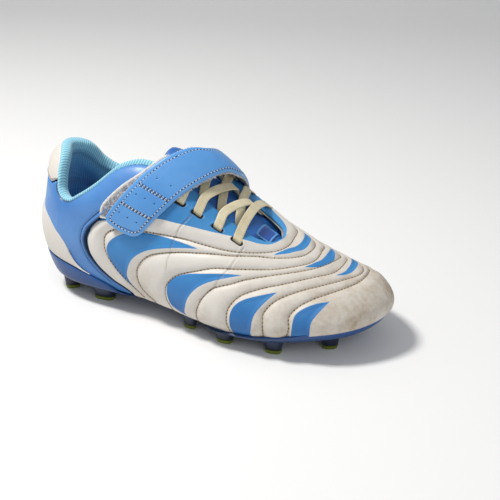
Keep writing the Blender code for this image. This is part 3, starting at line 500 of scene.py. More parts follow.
def make_vamp(material):
    p, t = vamp_places()
    base = on_last(p, t)
    k = fold(p)
    seams = seam_lines()
    far = np.stack([near(base, line)[0] for line in seams])
    far.sort(axis=0)
    flames = np.zeros(t.shape, bool)
    edges = []
    for sides in FLAMES:
        outline = flame_outline(sides)
        flames |= within(k, t, outline)
        for flip in (False, True):
            q = STATIONS - outline[:, 0] if flip else outline[:, 0]
            edges.append(even(on_last(q, outline[:, 1]), .25))
    for sides in CRESCENTS:
        outline = np.concatenate([smooth_route([on_last(*place) for place in side], 16) for side in sides])
        flames |= within(base[..., 0], base[..., 1], outline[:, :2]) & (t > .5)
        edges.append(even(outline, .25))
    print_edge = near(base, np.concatenate(edges))[0] * np.where(flames, -1, 1)
    stay = smooth_route(EYESTAY, 16)
    area = np.concatenate([stay, [(7.02, 1.3), (2.4, 1.3)]])
    both_sides = (stay[:, 0], STATIONS - stay[:, 0])
    stay_line = np.concatenate([even(on_last(q, stay[:, 1]), .25) for q in both_sides])
    stay_edge = near(base, stay_line)[0] * np.where(within(k, t, area), -1, 1)
    fold_far = near(base, np.concatenate([line_on_last(line) for line in CREASES]))[0]
    throat = even(on_last(*np.array([(q, float(collar(q))) for q in np.linspace(3.4, 16.6, 500)]).T), .3)
    throat_far = near(base, throat)[0]
    throat_far = np.where(collar(p) > .999, np.maximum(throat_far, 3), throat_far)
    rear_far = from_border(base, (base[:, 0], base[:, -1]))
    first_far = np.minimum(far[0], rear_far)
    rise = pillow(first_far, far[1], QUILT_RISE, QUILT_CREASE)
    rise *= np.clip(t / .12, .15, 1) * (1 - .35 * np.clip(-print_edge / 2, 0, 1))
    rise *= np.clip(throat_far / 9, .1, 1)
    rise -= .35 * np.exp(-(fold_far / .45) ** 2) - .22 * np.exp(-((fold_far - 1.1) / .55) ** 2)
    eyelet = np.full(t.shape, CLEAR)
    for row in EYELET_ROWS:
        for q in (row, STATIONS - row):
            centre = on_last(q, EYELET_T)
            along = on_last(q + .01, EYELET_T) - on_last(q - .01, EYELET_T)
            along /= np.linalg.norm(along)
            away = base - centre
            u = away @ along
            v = np.linalg.norm(away - u[..., None] * along, axis=-1)
            eyelet = np.minimum(eyelet, np.hypot(np.clip(np.abs(u) - EYELET_HALF, 0, None), v) - EYELET_ROUND)
    rise -= 1.5 * np.clip(.25 - eyelet, 0, 1) - .25 * np.exp(-((eyelet - .6) / .5) ** 2)
    rise -= edge_roll(np.minimum(throat_far, rear_far), 1.0)
    top = base + rise[..., None] * outward(p, t)
    under = skin(p, t, np.full(t.shape, -SKIN))
    lip = [inset(p[0], 8.0, 0), inset(p[0], 4.0, 0), inset(p[0], 1.5, 0)]
    lip_in = [inset(p[0], 8.0, SKIN), inset(p[0], 4.0, SKIN), inset(p[0], 2.2, SKIN)]
    layers = {"print_edge": print_edge, "stay_edge": stay_edge, "seam_far": first_far,
              "eyelet_edge": eyelet, "fold_far": fold_far}
    layers = {key: np.concatenate([np.full((3, VAMP_COLS), CLEAR), far]) for key, far in layers.items()}
    outside, inside = np.concatenate([lip, top]), np.concatenate([lip_in, under])
    obj = shell("vamp_skin", outside, inside, material, layers=layers)
    return obj, seams, base, rise


def grain_group():
    """Pebbled grain of a coated synthetic: fine cells with pores between them, and a slower wave."""
    g = bpy.data.node_groups.new("grain", "ShaderNodeTree")
    g.interface.new_socket("Cell", in_out="INPUT", socket_type="NodeSocketFloat").default_value = 900
    g.interface.new_socket("Height", in_out="OUTPUT", socket_type="NodeSocketFloat")
    put, get = g.nodes.new("NodeGroupInput"), g.nodes.new("NodeGroupOutput")
    at = node(g, "TexCoord").outputs["Object"]
    cells = node(g, "TexVoronoi", {"Vector": at, "Scale": put.outputs["Cell"]}, feature="SMOOTH_F1")
    fine = noise(g, at, 2600.0, 3.0)
    slow = noise(g, at, 160.0, 2.0)
    one = node(g, "Math", {0: cells.outputs["Distance"], 1: .55, 2: fine},
               operation="MULTIPLY_ADD")
    two = node(g, "Math", {0: slow, 1: 1.4, 2: one.outputs["Value"]}, operation="MULTIPLY_ADD")
    g.links.new(two.outputs["Value"], get.inputs["Height"])
    return g


def soil_group():
    """Dust and scuffs: 0 clean to 1 soiled, more towards the toe and low down, in uneven patches."""
    g = bpy.data.node_groups.new("soil", "ShaderNodeTree")
    g.interface.new_socket("Amount", in_out="INPUT", socket_type="NodeSocketFloat").default_value = 1
    g.interface.new_socket("Mask", in_out="OUTPUT", socket_type="NodeSocketFloat")
    put, get = g.nodes.new("NodeGroupInput"), g.nodes.new("NodeGroupOutput")
    at = node(g, "TexCoord").outputs["Object"]
    axis = node(g, "SeparateXYZ", {0: at})
    toe = ranged(g, axis.outputs["X"], .02, .115, .10, .75)
    low = ranged(g, axis.outputs["Z"], .045, .012, 0.0, .4)
    patch = noise(g, at, 45.0, 6.0, .65)
    rough = noise(g, at, 420.0, 3.0)
    both = node(g, "Math", {0: toe, 1: low}, operation="ADD")
    blot = ranged(g, patch, .36, .68, .25, 1.15)
    grit = ranged(g, rough, .35, .65, .8, 1.15)
    a = node(g, "Math", {0: both.outputs[0], 1: blot}, operation="MULTIPLY")
    b = node(g, "Math", {0: a.outputs[0], 1: grit}, operation="MULTIPLY")
    c = node(g, "Math", {0: b.outputs[0], 1: put.outputs["Amount"]}, operation="MULTIPLY", use_clamp=True)
    g.links.new(c.outputs[0], get.inputs["Mask"])
    return g


GRAIN, SOIL = grain_group(), soil_group()


def grouped(tree, group, **values):
    made = tree.nodes.new("ShaderNodeGroup")
    made.node_tree = group
    for key, value in values.items():
        made.inputs[key].default_value = value
    return made


def mix(tree, mask, a, b):
    made = node(tree, "Mix", data_type="RGBA")
    for socket, value in ((made.inputs[0], mask), (made.inputs[6], a), (made.inputs[7], b)):
        if isinstance(value, bpy.types.NodeSocket):
            tree.links.new(value, socket)
        else:
            socket.default_value = value
    return made.outputs[2]


def held(tree, name, low, high, a=1.0, b=0.0):
    """A number kept on the mesh, turned into a mask."""
    source = node(tree, "Attribute", attribute_name=name)
    return node(tree, "MapRange", {0: source.outputs["Fac"], 1: low, 2: high, 3: a, 4: b},
                interpolation_type="SMOOTHSTEP").outputs[0]


def bumped(tree, shader, height, strength, depth):
    bump = node(tree, "Bump", {"Height": height, "Strength": strength, "Distance": depth})
    tree.links.new(bump.outputs["Normal"], shader.inputs["Normal"])


def white_finish(name, flames):
    finish, tree, shader = new_finish(name, .52)
    at = node(tree, "TexCoord").outputs["Object"]
    tone = noise(tree, at, 70.0, 5.0)
    white = mix(tree, tone, srgb(216, 211, 203), srgb(226, 222, 216))
    soil = grouped(tree, SOIL, Amount=1.0)
    colour = mix(tree, soil.outputs["Mask"], white, srgb(176, 160, 138))
    rough = node(tree, "MapRange", {0: soil.outputs["Mask"], 3: .48, 4: .75}).outputs[0]
    if flames:
        # painted shade: a brown band darkens the creases along the quilting seams
        seam_crease_shade = held(tree, "seam_far", .2, .9, .4, 0)
        colour = mix(tree, seam_crease_shade, colour, srgb(150, 128, 100))
        shade = node(tree, "MapRange", {0: node(tree, "SeparateXYZ", {0: at}).outputs["Z"], 1: .012, 2: .05})
        flame = mix(tree, shade.outputs[0], srgb(28, 92, 158), srgb(52, 132, 196))
        spots = ranged(tree, tone, .3, .7, 0, .25)
        flame = mix(tree, spots, flame, srgb(74, 146, 204))
        colour = mix(tree, held(tree, "print_edge", -.12, .12), colour, flame)
        # painted shade: the eyestay print darkens towards the rear
        front = node(tree, "MapRange", {0: node(tree, "SeparateXYZ", {0: at}).outputs["X"], 1: -.03, 2: .05})
        stay = mix(tree, front.outputs[0], srgb(40, 116, 178), srgb(72, 150, 208))
        colour = mix(tree, held(tree, "stay_edge", -.12, .12), colour, stay)
        # painted shade: darker along the two folds across the vamp
        colour = mix(tree, held(tree, "fold_far", .2, .9, .25, 0), colour, srgb(140, 130, 118))
        # painted shade: the eyelet slots are coloured near black for the dark inside the holes
        colour = mix(tree, held(tree, "eyelet_edge", -.05, .35), colour, srgb(22, 20, 20))
    tree.links.new(colour, shader.inputs["Base Color"])
    tree.links.new(rough, shader.inputs["Roughness"])
    bumped(tree, shader, grouped(tree, GRAIN, Cell=900).outputs["Height"], .35, .00022)
    return finish


vamp, SEAM_LINES, vamp_base, vamp_rise = make_vamp(white_finish("quilted_white", True))
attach(vamp, "shoe")
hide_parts("vamp", "vamp_padding")

# ---------------------------------------------------------------- quilting stitches
# Lockstitch rows that hold the foam down, in tan thread sunk in a crease, with a needle hole between
# stitches.  Each stitch is a small arched capsule, each hole a dimple coloured dark as painted shade.
PITCH, STITCH, THREAD = 2.3, 1.5, .24


def capsules(name, centres, along, normal, length, radius, flat, material):
    """Many small capsules as one mesh, lying along the given directions."""
    along = along - (along * normal).sum(1, keepdims=True) * normal
    along /= np.linalg.norm(along, axis=1, keepdims=True)
    across = np.cross(normal, along)
    rings = [(-.5, .2, -.35), (-.4, .75, -.12), (-.15, 1, 0), (.15, 1, 0), (.4, .75, -.12), (.5, .2, -.35)]
    sides = 6
    verts, faces = [], []
    for u, size, sink in rings:
        for j in range(sides):
            a = 2 * math.pi * j / sides
            verts.append(centres + along * (u * length) + across * (math.cos(a) * radius * size)
                         + normal * (math.sin(a) * radius * size * flat + sink * radius))
    verts = np.stack(verts, 1)
    count = len(rings) * sides
    pattern = [list(range(sides))[::-1], [count - sides + j for j in range(sides)]]
    for i in range(len(rings) - 1):
        for j in range(sides):
            k = (j + 1) % sides
            pattern.append([i * sides + j, i * sides + k, (i + 1) * sides + k, (i + 1) * sides + j])
    for n in range(len(centres)):
        faces += [[v + n * count for v in face] for face in pattern]
    return new_mesh(name, to_frame(verts.reshape(-1, 3)), faces, material, 60)


def sew(name, lines, normals, body, thread, hole, pitch=PITCH, length=STITCH, radius=THREAD, lift=.12):
    """Stitches along lines with a normal for each point; makes the thread and the holes ride the body."""
    centres, ways, ups, gaps = [], [], [], []
    for line, up_ways in zip(lines, normals):
        both = even(np.concatenate([line, up_ways], 1), pitch / 4)
        q, n = both[:, :3], both[:, 3:] / np.linalg.norm(both[:, 3:], axis=1, keepdims=True)
        way = np.gradient(q, axis=0)
        centres.append((q + n * lift)[2::4])
        ways.append(way[2::4])
        ups.append(n[2::4])
        gaps.append(((q + n * lift * .3)[::4], way[::4], n[::4]))
    made = [capsules(name + "_thread", np.concatenate(centres), np.concatenate(ways), np.concatenate(ups),
                     length, radius, .8, thread)]
    # the holes are dark capsules in painted shade
    if hole:
        spots = [np.concatenate(part) for part in zip(*gaps)]
        made.append(capsules(name + "_holes", *spots, pitch - length + .15, radius * 1.6, .6, hole))
    for piece in made:
        if body:
            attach(piece, body)
    return made


def thread_finish(name, light, dark):
    finish, tree, shader = new_finish(name, .75)
    at = node(tree, "TexCoord").outputs["Object"]
    twist = noise(tree, at, 900.0, 2.0)
    tree.links.new(mix(tree, twist, light, dark), shader.inputs["Base Color"])
    bumped(tree, shader, twist, .4, .0001)
    return finish


TAN = thread_finish("tan_thread", srgb(196, 180, 150), srgb(150, 130, 100))
# painted shade: the dark of the needle holes between the stitches
HOLE_SHADE = thread_finish("needle_hole_shade", srgb(52, 42, 32), srgb(30, 24, 20))
vamp_points = vamp_base.reshape(-1, 3)
vamp_p, vamp_t = vamp_places()
vamp_out = outward(vamp_p, vamp_t).reshape(-1, 3)


def laid_on(line, surface, ways, rise):
    """A line moved on to a raised surface, and the surface's direction at each of its points."""
    _, which = near(line, surface)
    n = ways[which]
    drop = ((line - surface[which]) * n).sum(1, keepdims=True)
    return line + n * (rise.ravel()[which][:, None] - drop), n


laid = [laid_on(line, vamp_points, vamp_out, vamp_rise) for line in SEAM_LINES]
sew("quilting", [a for a, _ in laid], [b for _, b in laid], "shoe", TAN, HOLE_SHADE)

# ---------------------------------------------------------------- quarters
# The blue padded sides of the heel, smooth satin synthetic over foam, rolled under along the topline and
# stitched down over the vamp's rear edge with a raised, folded lip.
TAB_OUTER = [(0, .66), (.8, .665), (1.2, .68), (1.5, .735)]
TAB_INNER = [(0, .66), (.8, .665), (1.2, .69), (1.62, .768)]


def tab_bottom(p):
    side = np.asarray(p, float) % STATIONS
    return np.where(side <= 10, through(TAB_OUTER, fold(p)), through(TAB_INNER, fold(p)))


def satin_finish(name, deep, bright):
    finish, tree, shader = new_finish(name, .38, Specular_IOR_Level=.55)
    at = node(tree, "TexCoord").outputs["Object"]
    tone = noise(tree, at, 28.0, 4.0)
    patchy = ranged(tree, tone, .3, .7)
    colour = mix(tree, patchy, deep, bright)
    # painted shade: dark navy along the rolled-under edges
    colour = mix(tree, held(tree, "edge_far", .25, 1.3, .85, 0), colour, srgb(14, 28, 62))
    scuff = noise(tree, at, 320.0, 5.0, .7)
    rough = ranged(tree, scuff, .3, .75, .30, .52)
    tree.links.new(colour, shader.inputs["Base Color"])
    tree.links.new(rough, shader.inputs["Roughness"])
    bumped(tree, shader, grouped(tree, GRAIN, Cell=1500).outputs["Height"], .16, .00015)
    return finish


QUARTER_BLUE = satin_finish("quarter_satin", srgb(62, 118, 186), srgb(88, 146, 210))


QUARTER_COLS, QUARTER_ROWS = 181, 91


def make_quarter(name, side):
    rows = np.linspace(0, 1, QUARTER_ROWS)[:, None]
    across = np.linspace(0, 1, QUARTER_COLS)[None, :]
    k = .02 + across * (through(QUARTER_FRONT, rows * .86) - .05)
    p = k if side < 0 else STATIONS - k
    end = TAB_OUTER[-1][0] if side < 0 else TAB_INNER[-1][0]
    top = np.where(fold(p) < end, tab_bottom(p) - .012, collar(p))
    t = rows * top
    base = on_last(p, t)
    front_far, top_far = from_border(base, [base[:, -1]]), from_border(base, [base[-1]])
    open_top = fold(p) >= end
    rise = 2.4 * np.sin(math.pi * np.clip(top_far / 34, 0, 1) ** .55) * np.clip((fold(p) - .6) / 1.2, .25, 1)
    rise += .7 * np.exp(-((front_far - .9) / .8) ** 2) - .45 * np.exp(-((front_far - 2.7) / .8) ** 2)
    rise *= np.clip(t / .2, 0, 1)
    rise -= edge_roll(np.minimum(front_far, top_far), .9)
    raised = base + rise[..., None] * outward(p, t)
    under = skin(p, t, np.full(t.shape, -SKIN))
    lip = [inset(p[0], k_in, 0) for k_in in (8.0, 1.5)]
    lip_in = [inset(p[0], k_in, SKIN) for k_in in (8.0, 2.2)]
    edge = np.where(open_top, np.minimum(top_far, front_far + .35), front_far + .35)
    grids = [np.concatenate([lip, raised]), np.concatenate([lip_in, under]),
             np.concatenate([np.full((2, QUARTER_COLS), CLEAR), edge])]
    if side > 0:
        grids = [g[:, ::-1] for g in grids]
    obj = shell(name + "_skin", grids[0], grids[1], QUARTER_BLUE, layers={"edge_far": grids[2]})
    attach(obj, "shoe")
    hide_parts(name)
    flat, ways = base.reshape(-1, 3), outward(p, t).reshape(-1, 3)
    row = np.array([base[i, np.argmin(np.abs(front_far[i] - 2.6))] for i in range(8, QUARTER_ROWS - 1)])
    return laid_on(even(smooth_route(row[::6], 12), .4), flat, ways, rise)


quarter_rows = [make_quarter("quarter_outer", -1), make_quarter("quarter_inner", 1)]
NAVY = thread_finish("navy_thread", srgb(58, 104, 160), srgb(36, 72, 124))
sew("quarter_stitches", [a for a, _ in quarter_rows], [b for _, b in quarter_rows], "shoe", NAVY, HOLE_SHADE,
    1.9, 1.3, .2)

# ---------------------------------------------------------------- heel overlay and heel tab
# White synthetic: a band that wraps the bottom of the heel and tapers forward along the sole, glued and
# turned in at its edges, and a raised tab at the top of the heel, sewn over the two quarters.
RIM_TOP = [(0, .19), (1.15, .18), (2.05, .155), (2.62, .10), (2.93, .06), (3.4, 0), (5.7, 0), (6.1, .015),
           (6.7, .04), (7.36, .083), (7.9, .143), (8.5, .205), (9.1, .24), (10, .24)]
HEEL_OVERLAY_TOP = [(0, .50), (.6, .49), (1.2, .475), (1.66, .453), (2, .345), (2.23, .20), (2.46, .135),
                    (2.58, .12)]
HEEL_WHITE = white_finish("heel_white", False)


def make_patch(name, p, low, high, rows, depth, thick, bulge, material, body, nodes, roll=.8):
    """A piece of the skin between two lines, with a soft bulge and rounded edges."""
    s = np.linspace(0, 1, rows)[:, None]
    p, t = np.broadcast_arrays(p, low * (1 - s) + high * s)
    base = on_last(p, t)
    far = from_border(base)
    rise = depth + bulge * np.clip(far / 9, 0, 1) ** .7 - edge_roll(far, roll)
    top, under = base + rise[..., None] * outward(p, t), skin(p, t, np.full(t.shape, depth - thick))
    obj = shell(name, top, under, material, layers={"edge_far": far})
    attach(obj, body)
    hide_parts(*nodes)
    return obj, base, outward(p, t), rise


heel_p = np.linspace(-2.58, 2.58, 201)
heel_low, heel_high = through(RIM_TOP, fold(heel_p)) + .012, through(HEEL_OVERLAY_TOP, fold(heel_p))
make_patch("heel_band", heel_p, heel_low, heel_high, 41, 1.4, .9, .5, HEEL_WHITE, "shoe",
           ["heel_overlay"])
tab_p = np.linspace(.03 - TAB_INNER[-1][0], TAB_OUTER[-1][0] - .03, 141)
_, tab_base, tab_out, tab_rise = make_patch("heel_tab_skin", tab_p, tab_bottom(tab_p), collar(tab_p), 31,
                                            .25, SKIN, .9, HEEL_WHITE, "shoe", ["heel_tab"])
tab_row = laid_on(even(tab_base[4], .4), tab_base.reshape(-1, 3), tab_out.reshape(-1, 3), tab_rise)
sew("heel_tab_stitches", [tab_row[0]], [tab_row[1]], "shoe", TAN, HOLE_SHADE, 2.0, 1.4, .2)

# ---------------------------------------------------------------- collar lining
# Pale blue ribbed knit over soft foam.  It fills a fat roll round the heel and a thin one along the
# topline, with ribs across the roll and a fine square grid inside.
UNDER, GAP, LINING = -2.1, .3, .7
FOAM_BOTTOM, HEEL_LINING = .53, -3.9
RIB = 1.75


def collar_depth(k, share):
    full = through([(0, 6.5), (1.2, 6.0), (2, 4.4), (3, 3.6), (5, 2.6)], k)
    return full * (.25 + .75 * np.sin(np.clip(share, 0, 1) * 2.4) / math.sin(1.57))


def knit_finish():
    finish, tree, shader = new_finish("ribbed_knit", .85, Sheen_Weight=.3)
    at = node(tree, "TexCoord").outputs["Object"]
    # painted shade: the hollows between the ribs are coloured darker than the rib tops
    rib = held(tree, "rib", 0, 1, 0, 1)
    deep = held(tree, "inside", 2, 30, 0, 1)
    tone = noise(tree, at, 60.0, 3.0)
    pale = mix(tree, rib, srgb(92, 176, 206), srgb(178, 224, 236))
    blue = mix(tree, rib, srgb(38, 118, 186), srgb(92, 170, 216))
    # painted shade: the knit turns deep blue further down inside the collar
    colour = mix(tree, deep, pale, blue)
    faded = ranged(tree, tone, .35, .75, 0, .3)
    colour = mix(tree, faded, colour, srgb(140, 196, 214))
    tree.links.new(colour, shader.inputs["Base Color"])
    yarn = node(tree, "TexVoronoi", {"Vector": at, "Scale": 1900.0})
    bumped(tree, shader, yarn.outputs["Distance"], .5, .0002)
    return finish


def make_lining():
    p = np.concatenate([np.linspace(-4.2, -1.6, 300)[:-1], np.linspace(-1.6, 1.6, 400)[:-1],
                        np.linspace(1.6, 3.7, 260)])
    k, top = fold(p), collar(p)
    base_top = top - .022
    rows = [(np.full(p.shape, t), np.full(p.shape, HEEL_LINING)) for t in (.10, .28, .46)]
    for share in (0, .25, .5, .75, .98):
        rows.append((FOAM_BOTTOM * (1 - share) + base_top * share, UNDER - .5 - GAP - collar_depth(k, share)))
    depth = UNDER - .5 - collar_depth(k, 1)
    fat = np.clip(-depth / 9, .4, 1)
    rows += [(top + .003, depth - .2), (top + .020 * fat, depth * .80), (top + .030 * fat, depth * .50),
             (top + .024 * fat, depth * .2), (top + .010, np.full(p.shape, -.15)),
             (top - .004, np.full(p.shape, -.75))]
    rows = np.array([np.stack(row, -1) for row in rows])
    rows = smooth_route(rows, 6)
    t, d = rows[..., 0], rows[..., 1]
    pb = np.broadcast_to(p, t.shape)
    base = skin(pb, t, d)
    edge = on_last(p, top)
    along = np.concatenate([[0], np.cumsum(np.linalg.norm(np.diff(edge, axis=0), axis=1))])
    up_way = np.gradient(base, axis=0)
    down = np.cumsum(np.linalg.norm(up_way, axis=-1)[::-1], axis=0)[::-1]
    ways = np.cross(np.gradient(base, axis=1), up_way)
    ways /= np.linalg.norm(ways, axis=-1, keepdims=True)
    rib = .5 + .5 * np.cos(2 * math.pi * along / RIB)[None, :] + 0 * t
    ring = .5 + .5 * np.cos(2 * math.pi * down / 2.1)
    inside = np.clip((down - 9) / 3, 0, 1)
    rib = rib * (1 - inside) + rib * (.35 + .65 * ring) * inside
    rise = .55 * (rib - 1) * np.clip(down / 2, 0, 1) * (1 - .45 * inside)
    obj = shell("collar_knit", base + rise[..., None] * ways, base - ways * LINING, knit_finish(),
                layers={"rib": rib, "inside": down}, smooth_to=70)
    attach(obj, "shoe")
    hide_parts("collar_lining", "collar_foam")


make_lining()

# ---------------------------------------------------------------- sockliner
# The removable footbed: blue brushed fabric over foam, turned up a little all round.
def make_sockliner():
    p = np.arange(0, STATIONS, .1)
    board_top = SKIN + GAP + 1.8
    s = np.linspace(0, 1, 26)[:, None, None]

    def disc(edge, dz):
        return inset(p, edge, dz) * (1 - s) + (spine(p) + (0, 0, dz)) * s

    top, under = disc(4.4, board_top + GAP + 3.6), disc(4.4, board_top + GAP)
    near_edge = np.clip(1 - s / .12, 0, 1)
    top = top + (0, 0, 1.0) * near_edge ** 2 - (0, 0, .9) * np.sin(math.pi * np.clip(s, 0, 1)) * .6
    finish, tree, shader = new_finish("sockliner_fabric", .9, Sheen_Weight=.2)
    at = node(tree, "TexCoord").outputs["Object"]
    weave = noise(tree, at, 1300.0, 2.0)
    tree.links.new(mix(tree, weave, srgb(30, 84, 150), srgb(60, 120, 186)),
                   shader.inputs["Base Color"])
    bumped(tree, shader, weave, .5, .0003)
    obj = shell("sockliner_pad", top, under, finish, wrap=True)
    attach(obj, "shoe")
    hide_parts("sockliner")


make_sockliner()

# ---------------------------------------------------------------- outsole plate and stud tips
# A glossy blue moulded plate, cupped round the heel and the forefoot and drawn in under the waist, with
# hollow-moulded studs that flare into it and lime tips moulded on their ends.
FLOOR, RIM_GAP = 2.6, .7
WAIST = [(0, 1), (3.35, 1), (4.1, 0), (4.95, 0), (5.7, 1), (10, 1)]
STUDS = [
    ("heel_outer_rear", 23.5, -15.5, 9.0, 8.0, 30.0), ("heel_outer_front", 50.5, -20.5, 13.0, 7.5, 6.0),
    ("heel_inner_rear", 23.5, 15.5, 9.0, 8.0, -30.0), ("heel_inner_front", 50.5, 17.5, 13.0, 7.5, -4.0),
    ("mid_outer", 115.5, -31.0, 7.5, 4.5, -10.0), ("ball_outer", 141.0, -36.5, 9.5, 7.5, 0.0),
    ("fore_outer", 171.0, -35.0, 9.5, 7.5, 10.0), ("toe_outer", 198.5, -15.5, 9.0, 7.5, 30.0),
    ("mid_inner", 116.0, 27.0, 9.5, 6.0, 8.0), ("ball_inner", 142.0, 34.0, 9.5, 7.5, 0.0),
    ("fore_inner", 169.0, 34.0, 9.5, 7.5, -12.0), ("toe_inner", 197.0, 20.0, 9.0, 7.5, -30.0),
]
TIP_HEIGHT, STUD_FLARE = 2.4, 1.75


def gloss_finish(name, low, high, rough, coat):
    finish, tree, shader = new_finish(name, rough, Coat_Weight=coat, Coat_Roughness=.12)
    at = node(tree, "TexCoord").outputs["Object"]
    z = node(tree, "SeparateXYZ", {0: at}).outputs["Z"]
    shade = node(tree, "MapRange", {0: z, 1: .002, 2: .024}, interpolation_type="SMOOTHSTEP").outputs[0]
    dust = noise(tree, at, 90.0, 7.0, .7)
    colour = mix(tree, shade, low, high)
    film = ranged(tree, dust, .55, .8, 0, .1)
    colour = mix(tree, film, colour, srgb(120, 122, 124))
    tree.links.new(colour, shader.inputs["Base Color"])
    worn = ranged(tree, dust, .4, .8, rough, rough + .3)
    tree.links.new(worn, shader.inputs["Roughness"])
    ripple = noise(tree, at, 120.0, 2.0)
    bumped(tree, shader, ripple, .12, .0006)
    return finish


PLATE_BLUE = gloss_finish("moulded_blue", srgb(0, 12, 34), srgb(0, 74, 142), .3, .15)
TIP_LIME = gloss_finish("moulded_lime", srgb(96, 108, 14), srgb(150, 166, 34), .38, .1)


def make_plate():
    p = np.linspace(0, STATIONS, 481)[:-1]
    rim = through(RIM_TOP, fold(p))
    cupped = through(WAIST, fold(p))[:, None]
    low_rim = np.stack([0 * p, 0 * p, -.7 * np.clip(1 - rim / .02, 0, 1)], -1)
    edge = on_last(p, 0.0)
    side = skin(p, 0.0, 1.0) - edge
    side[:, 2] = 0

    def blend(cup, waist):
        return cup * cupped + waist * (1 - cupped)

    outside = [
        blend(skin(p, rim, RIM_GAP + .1) + low_rim, inset(p, 5.4, -GAP)),
        blend(skin(p, rim, RIM_GAP + .9) + low_rim - (0, 0, .3), inset(p, 5.0, -GAP - .3)),
        blend(skin(p, rim * .5, RIM_GAP + 1.3) + low_rim, inset(p, 4.9, -1.0)),
        blend(edge + side * 1.8 + (0, 0, -1.2), inset(p, 5.1, -1.9)),
        blend(inset(p, .6, -GAP - FLOOR + .3), inset(p, 6.0, -GAP - FLOOR + .2)),
        blend(inset(p, 3.5, -GAP - FLOOR - .5), inset(p, 9.0, -GAP - FLOOR)),
        inset(p, 13.0, -GAP - FLOOR),
        (inset(p, 13.0, -GAP - FLOOR) + spine(p) + (0, 0, -GAP - FLOOR)) / 2,
        spine(p) + (0, 0, -GAP - FLOOR),
    ]
    inside = [
        blend(skin(p, rim, RIM_GAP) + low_rim, inset(p, 5.7, -GAP)),
        blend(skin(p, rim, RIM_GAP) + low_rim, inset(p, 5.7, -GAP)) - (0, 0, .2),
        blend(skin(p, rim * .5, RIM_GAP) + low_rim, inset(p, 6.1, -GAP)),
        blend(edge + side * RIM_GAP * .9 + (0, 0, -.8), inset(p, 6.5, -GAP)),
        blend(inset(p, .6, -.8), inset(p, 7.0, -GAP)),
        blend(inset(p, 3.5, -GAP), inset(p, 9.2, -GAP)),
        inset(p, 13.0, -GAP),
        (inset(p, 13.0, -GAP) + spine(p) + (0, 0, -GAP)) / 2,
        spine(p) + (0, 0, -GAP),
    ]
    outside, inside = (smooth_route(np.array(rows), 4)[::-1] for rows in (outside, inside))
    x, y = outside[..., 0], outside[..., 1]
    rib = np.exp(-((y - np.interp(x, (32, 120, 199), (0, -1.5, 4))) / 3.5) ** 2)
    outside[..., 2] -= 1.3 * rib * np.clip((x - 60) / 20, 0, 1) * np.clip((185 - x) / 30, 0, 1)
    obj = shell("plate", outside, inside, PLATE_BLUE, wrap=True, smooth_to=50)
    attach(obj, "shoe")
    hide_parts("outsole_plate")


def lofted(name, rings, material):
    """A closed piece through rings of points."""
    count, sides = len(rings), len(rings[0])
    faces = [list(range(sides))[::-1], [(count - 1) * sides + j for j in range(sides)]]
    for i in range(count - 1):
        for j in range(sides):
            k = (j + 1) % sides
            faces.append([i * sides + j, i * sides + k, (i + 1) * sides + k, (i + 1) * sides + j])
    return new_mesh(name, to_frame(np.concatenate(rings)), faces, material, 50)


def stud_ring(x, y, z, length, width, turn, power=2.6, sides=40):
    a = np.linspace(0, 2 * math.pi, sides + 1)[:-1]
    u = np.sign(np.cos(a)) * np.abs(np.cos(a)) ** (2 / power) * length
    v = np.sign(np.sin(a)) * np.abs(np.sin(a)) ** (2 / power) * width
    c, s = math.cos(math.radians(turn)), math.sin(math.radians(turn))
    return np.stack([x + u * c - v * s, y + u * s + v * c, np.full(sides, z)], -1)


def make_studs():
    flat = np.arange(0, STATIONS, .1)
    edges = on_last(flat, 0.0)
    for name, x, y, length, width, turn in STUDS:
        near_edge = np.argmin(np.hypot(edges[:, 0] - x, edges[:, 1] - y))
        top = float(edges[near_edge, 2]) - GAP + .2
        a, b = length / 2, width / 2
        rings = []
        for z, grow in ((TIP_HEIGHT + .05, -.25), (TIP_HEIGHT + .25, .12), (TIP_HEIGHT + .7, .25)):
            rings.append(stud_ring(x, y, z, a + grow, b + grow, turn))
        low = TIP_HEIGHT + .7
        for s in np.linspace(.12, 1, 12):
            grow = .25 + (STUD_FLARE - .25) * s + 2.6 * s ** 7
            rings.append(stud_ring(x, y, low + (top - low) * s, a + grow, b + grow, turn))
        stud = lofted("stud_" + name, rings, PLATE_BLUE)
        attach(stud, "shoe")
        rings = [stud_ring(x, y, z, a + grow, b + grow, turn)
                 for z, grow in ((0, -.75), (.12, -.42), (.4, -.15), (.9, .02), (TIP_HEIGHT - .25, .2),
                                 (TIP_HEIGHT, -.05))]
        tip = lofted("tip_" + name, rings, TIP_LIME)
        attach(tip, "shoe")
        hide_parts("stud_tip_" + name)


make_plate()
make_studs()

# ---------------------------------------------------------------- tongue
# A padded blue tongue under the lace, sewn in at its front end, lined with the knit, with a small
# glossy welded patch near its root.
TONGUE_TOP = -4.9
TONGUE_COLS, TONGUE_ROWS = 110, 81
TONGUE_EDGE = [(3.8, .93), (3.9, .90), (4.4, .90), (4.8, .85), (5.2, .79), (5.6, .775), (7.1, .775)]
LINED_TO = [(0, .735), (6.1, .735), (6.5, .79), (6.9, .87), (7.15, .94), (7.4, 1), (10, 1)]
TONGUE_BLUE = satin_finish("tongue_satin", srgb(40, 96, 172), srgb(58, 118, 192))


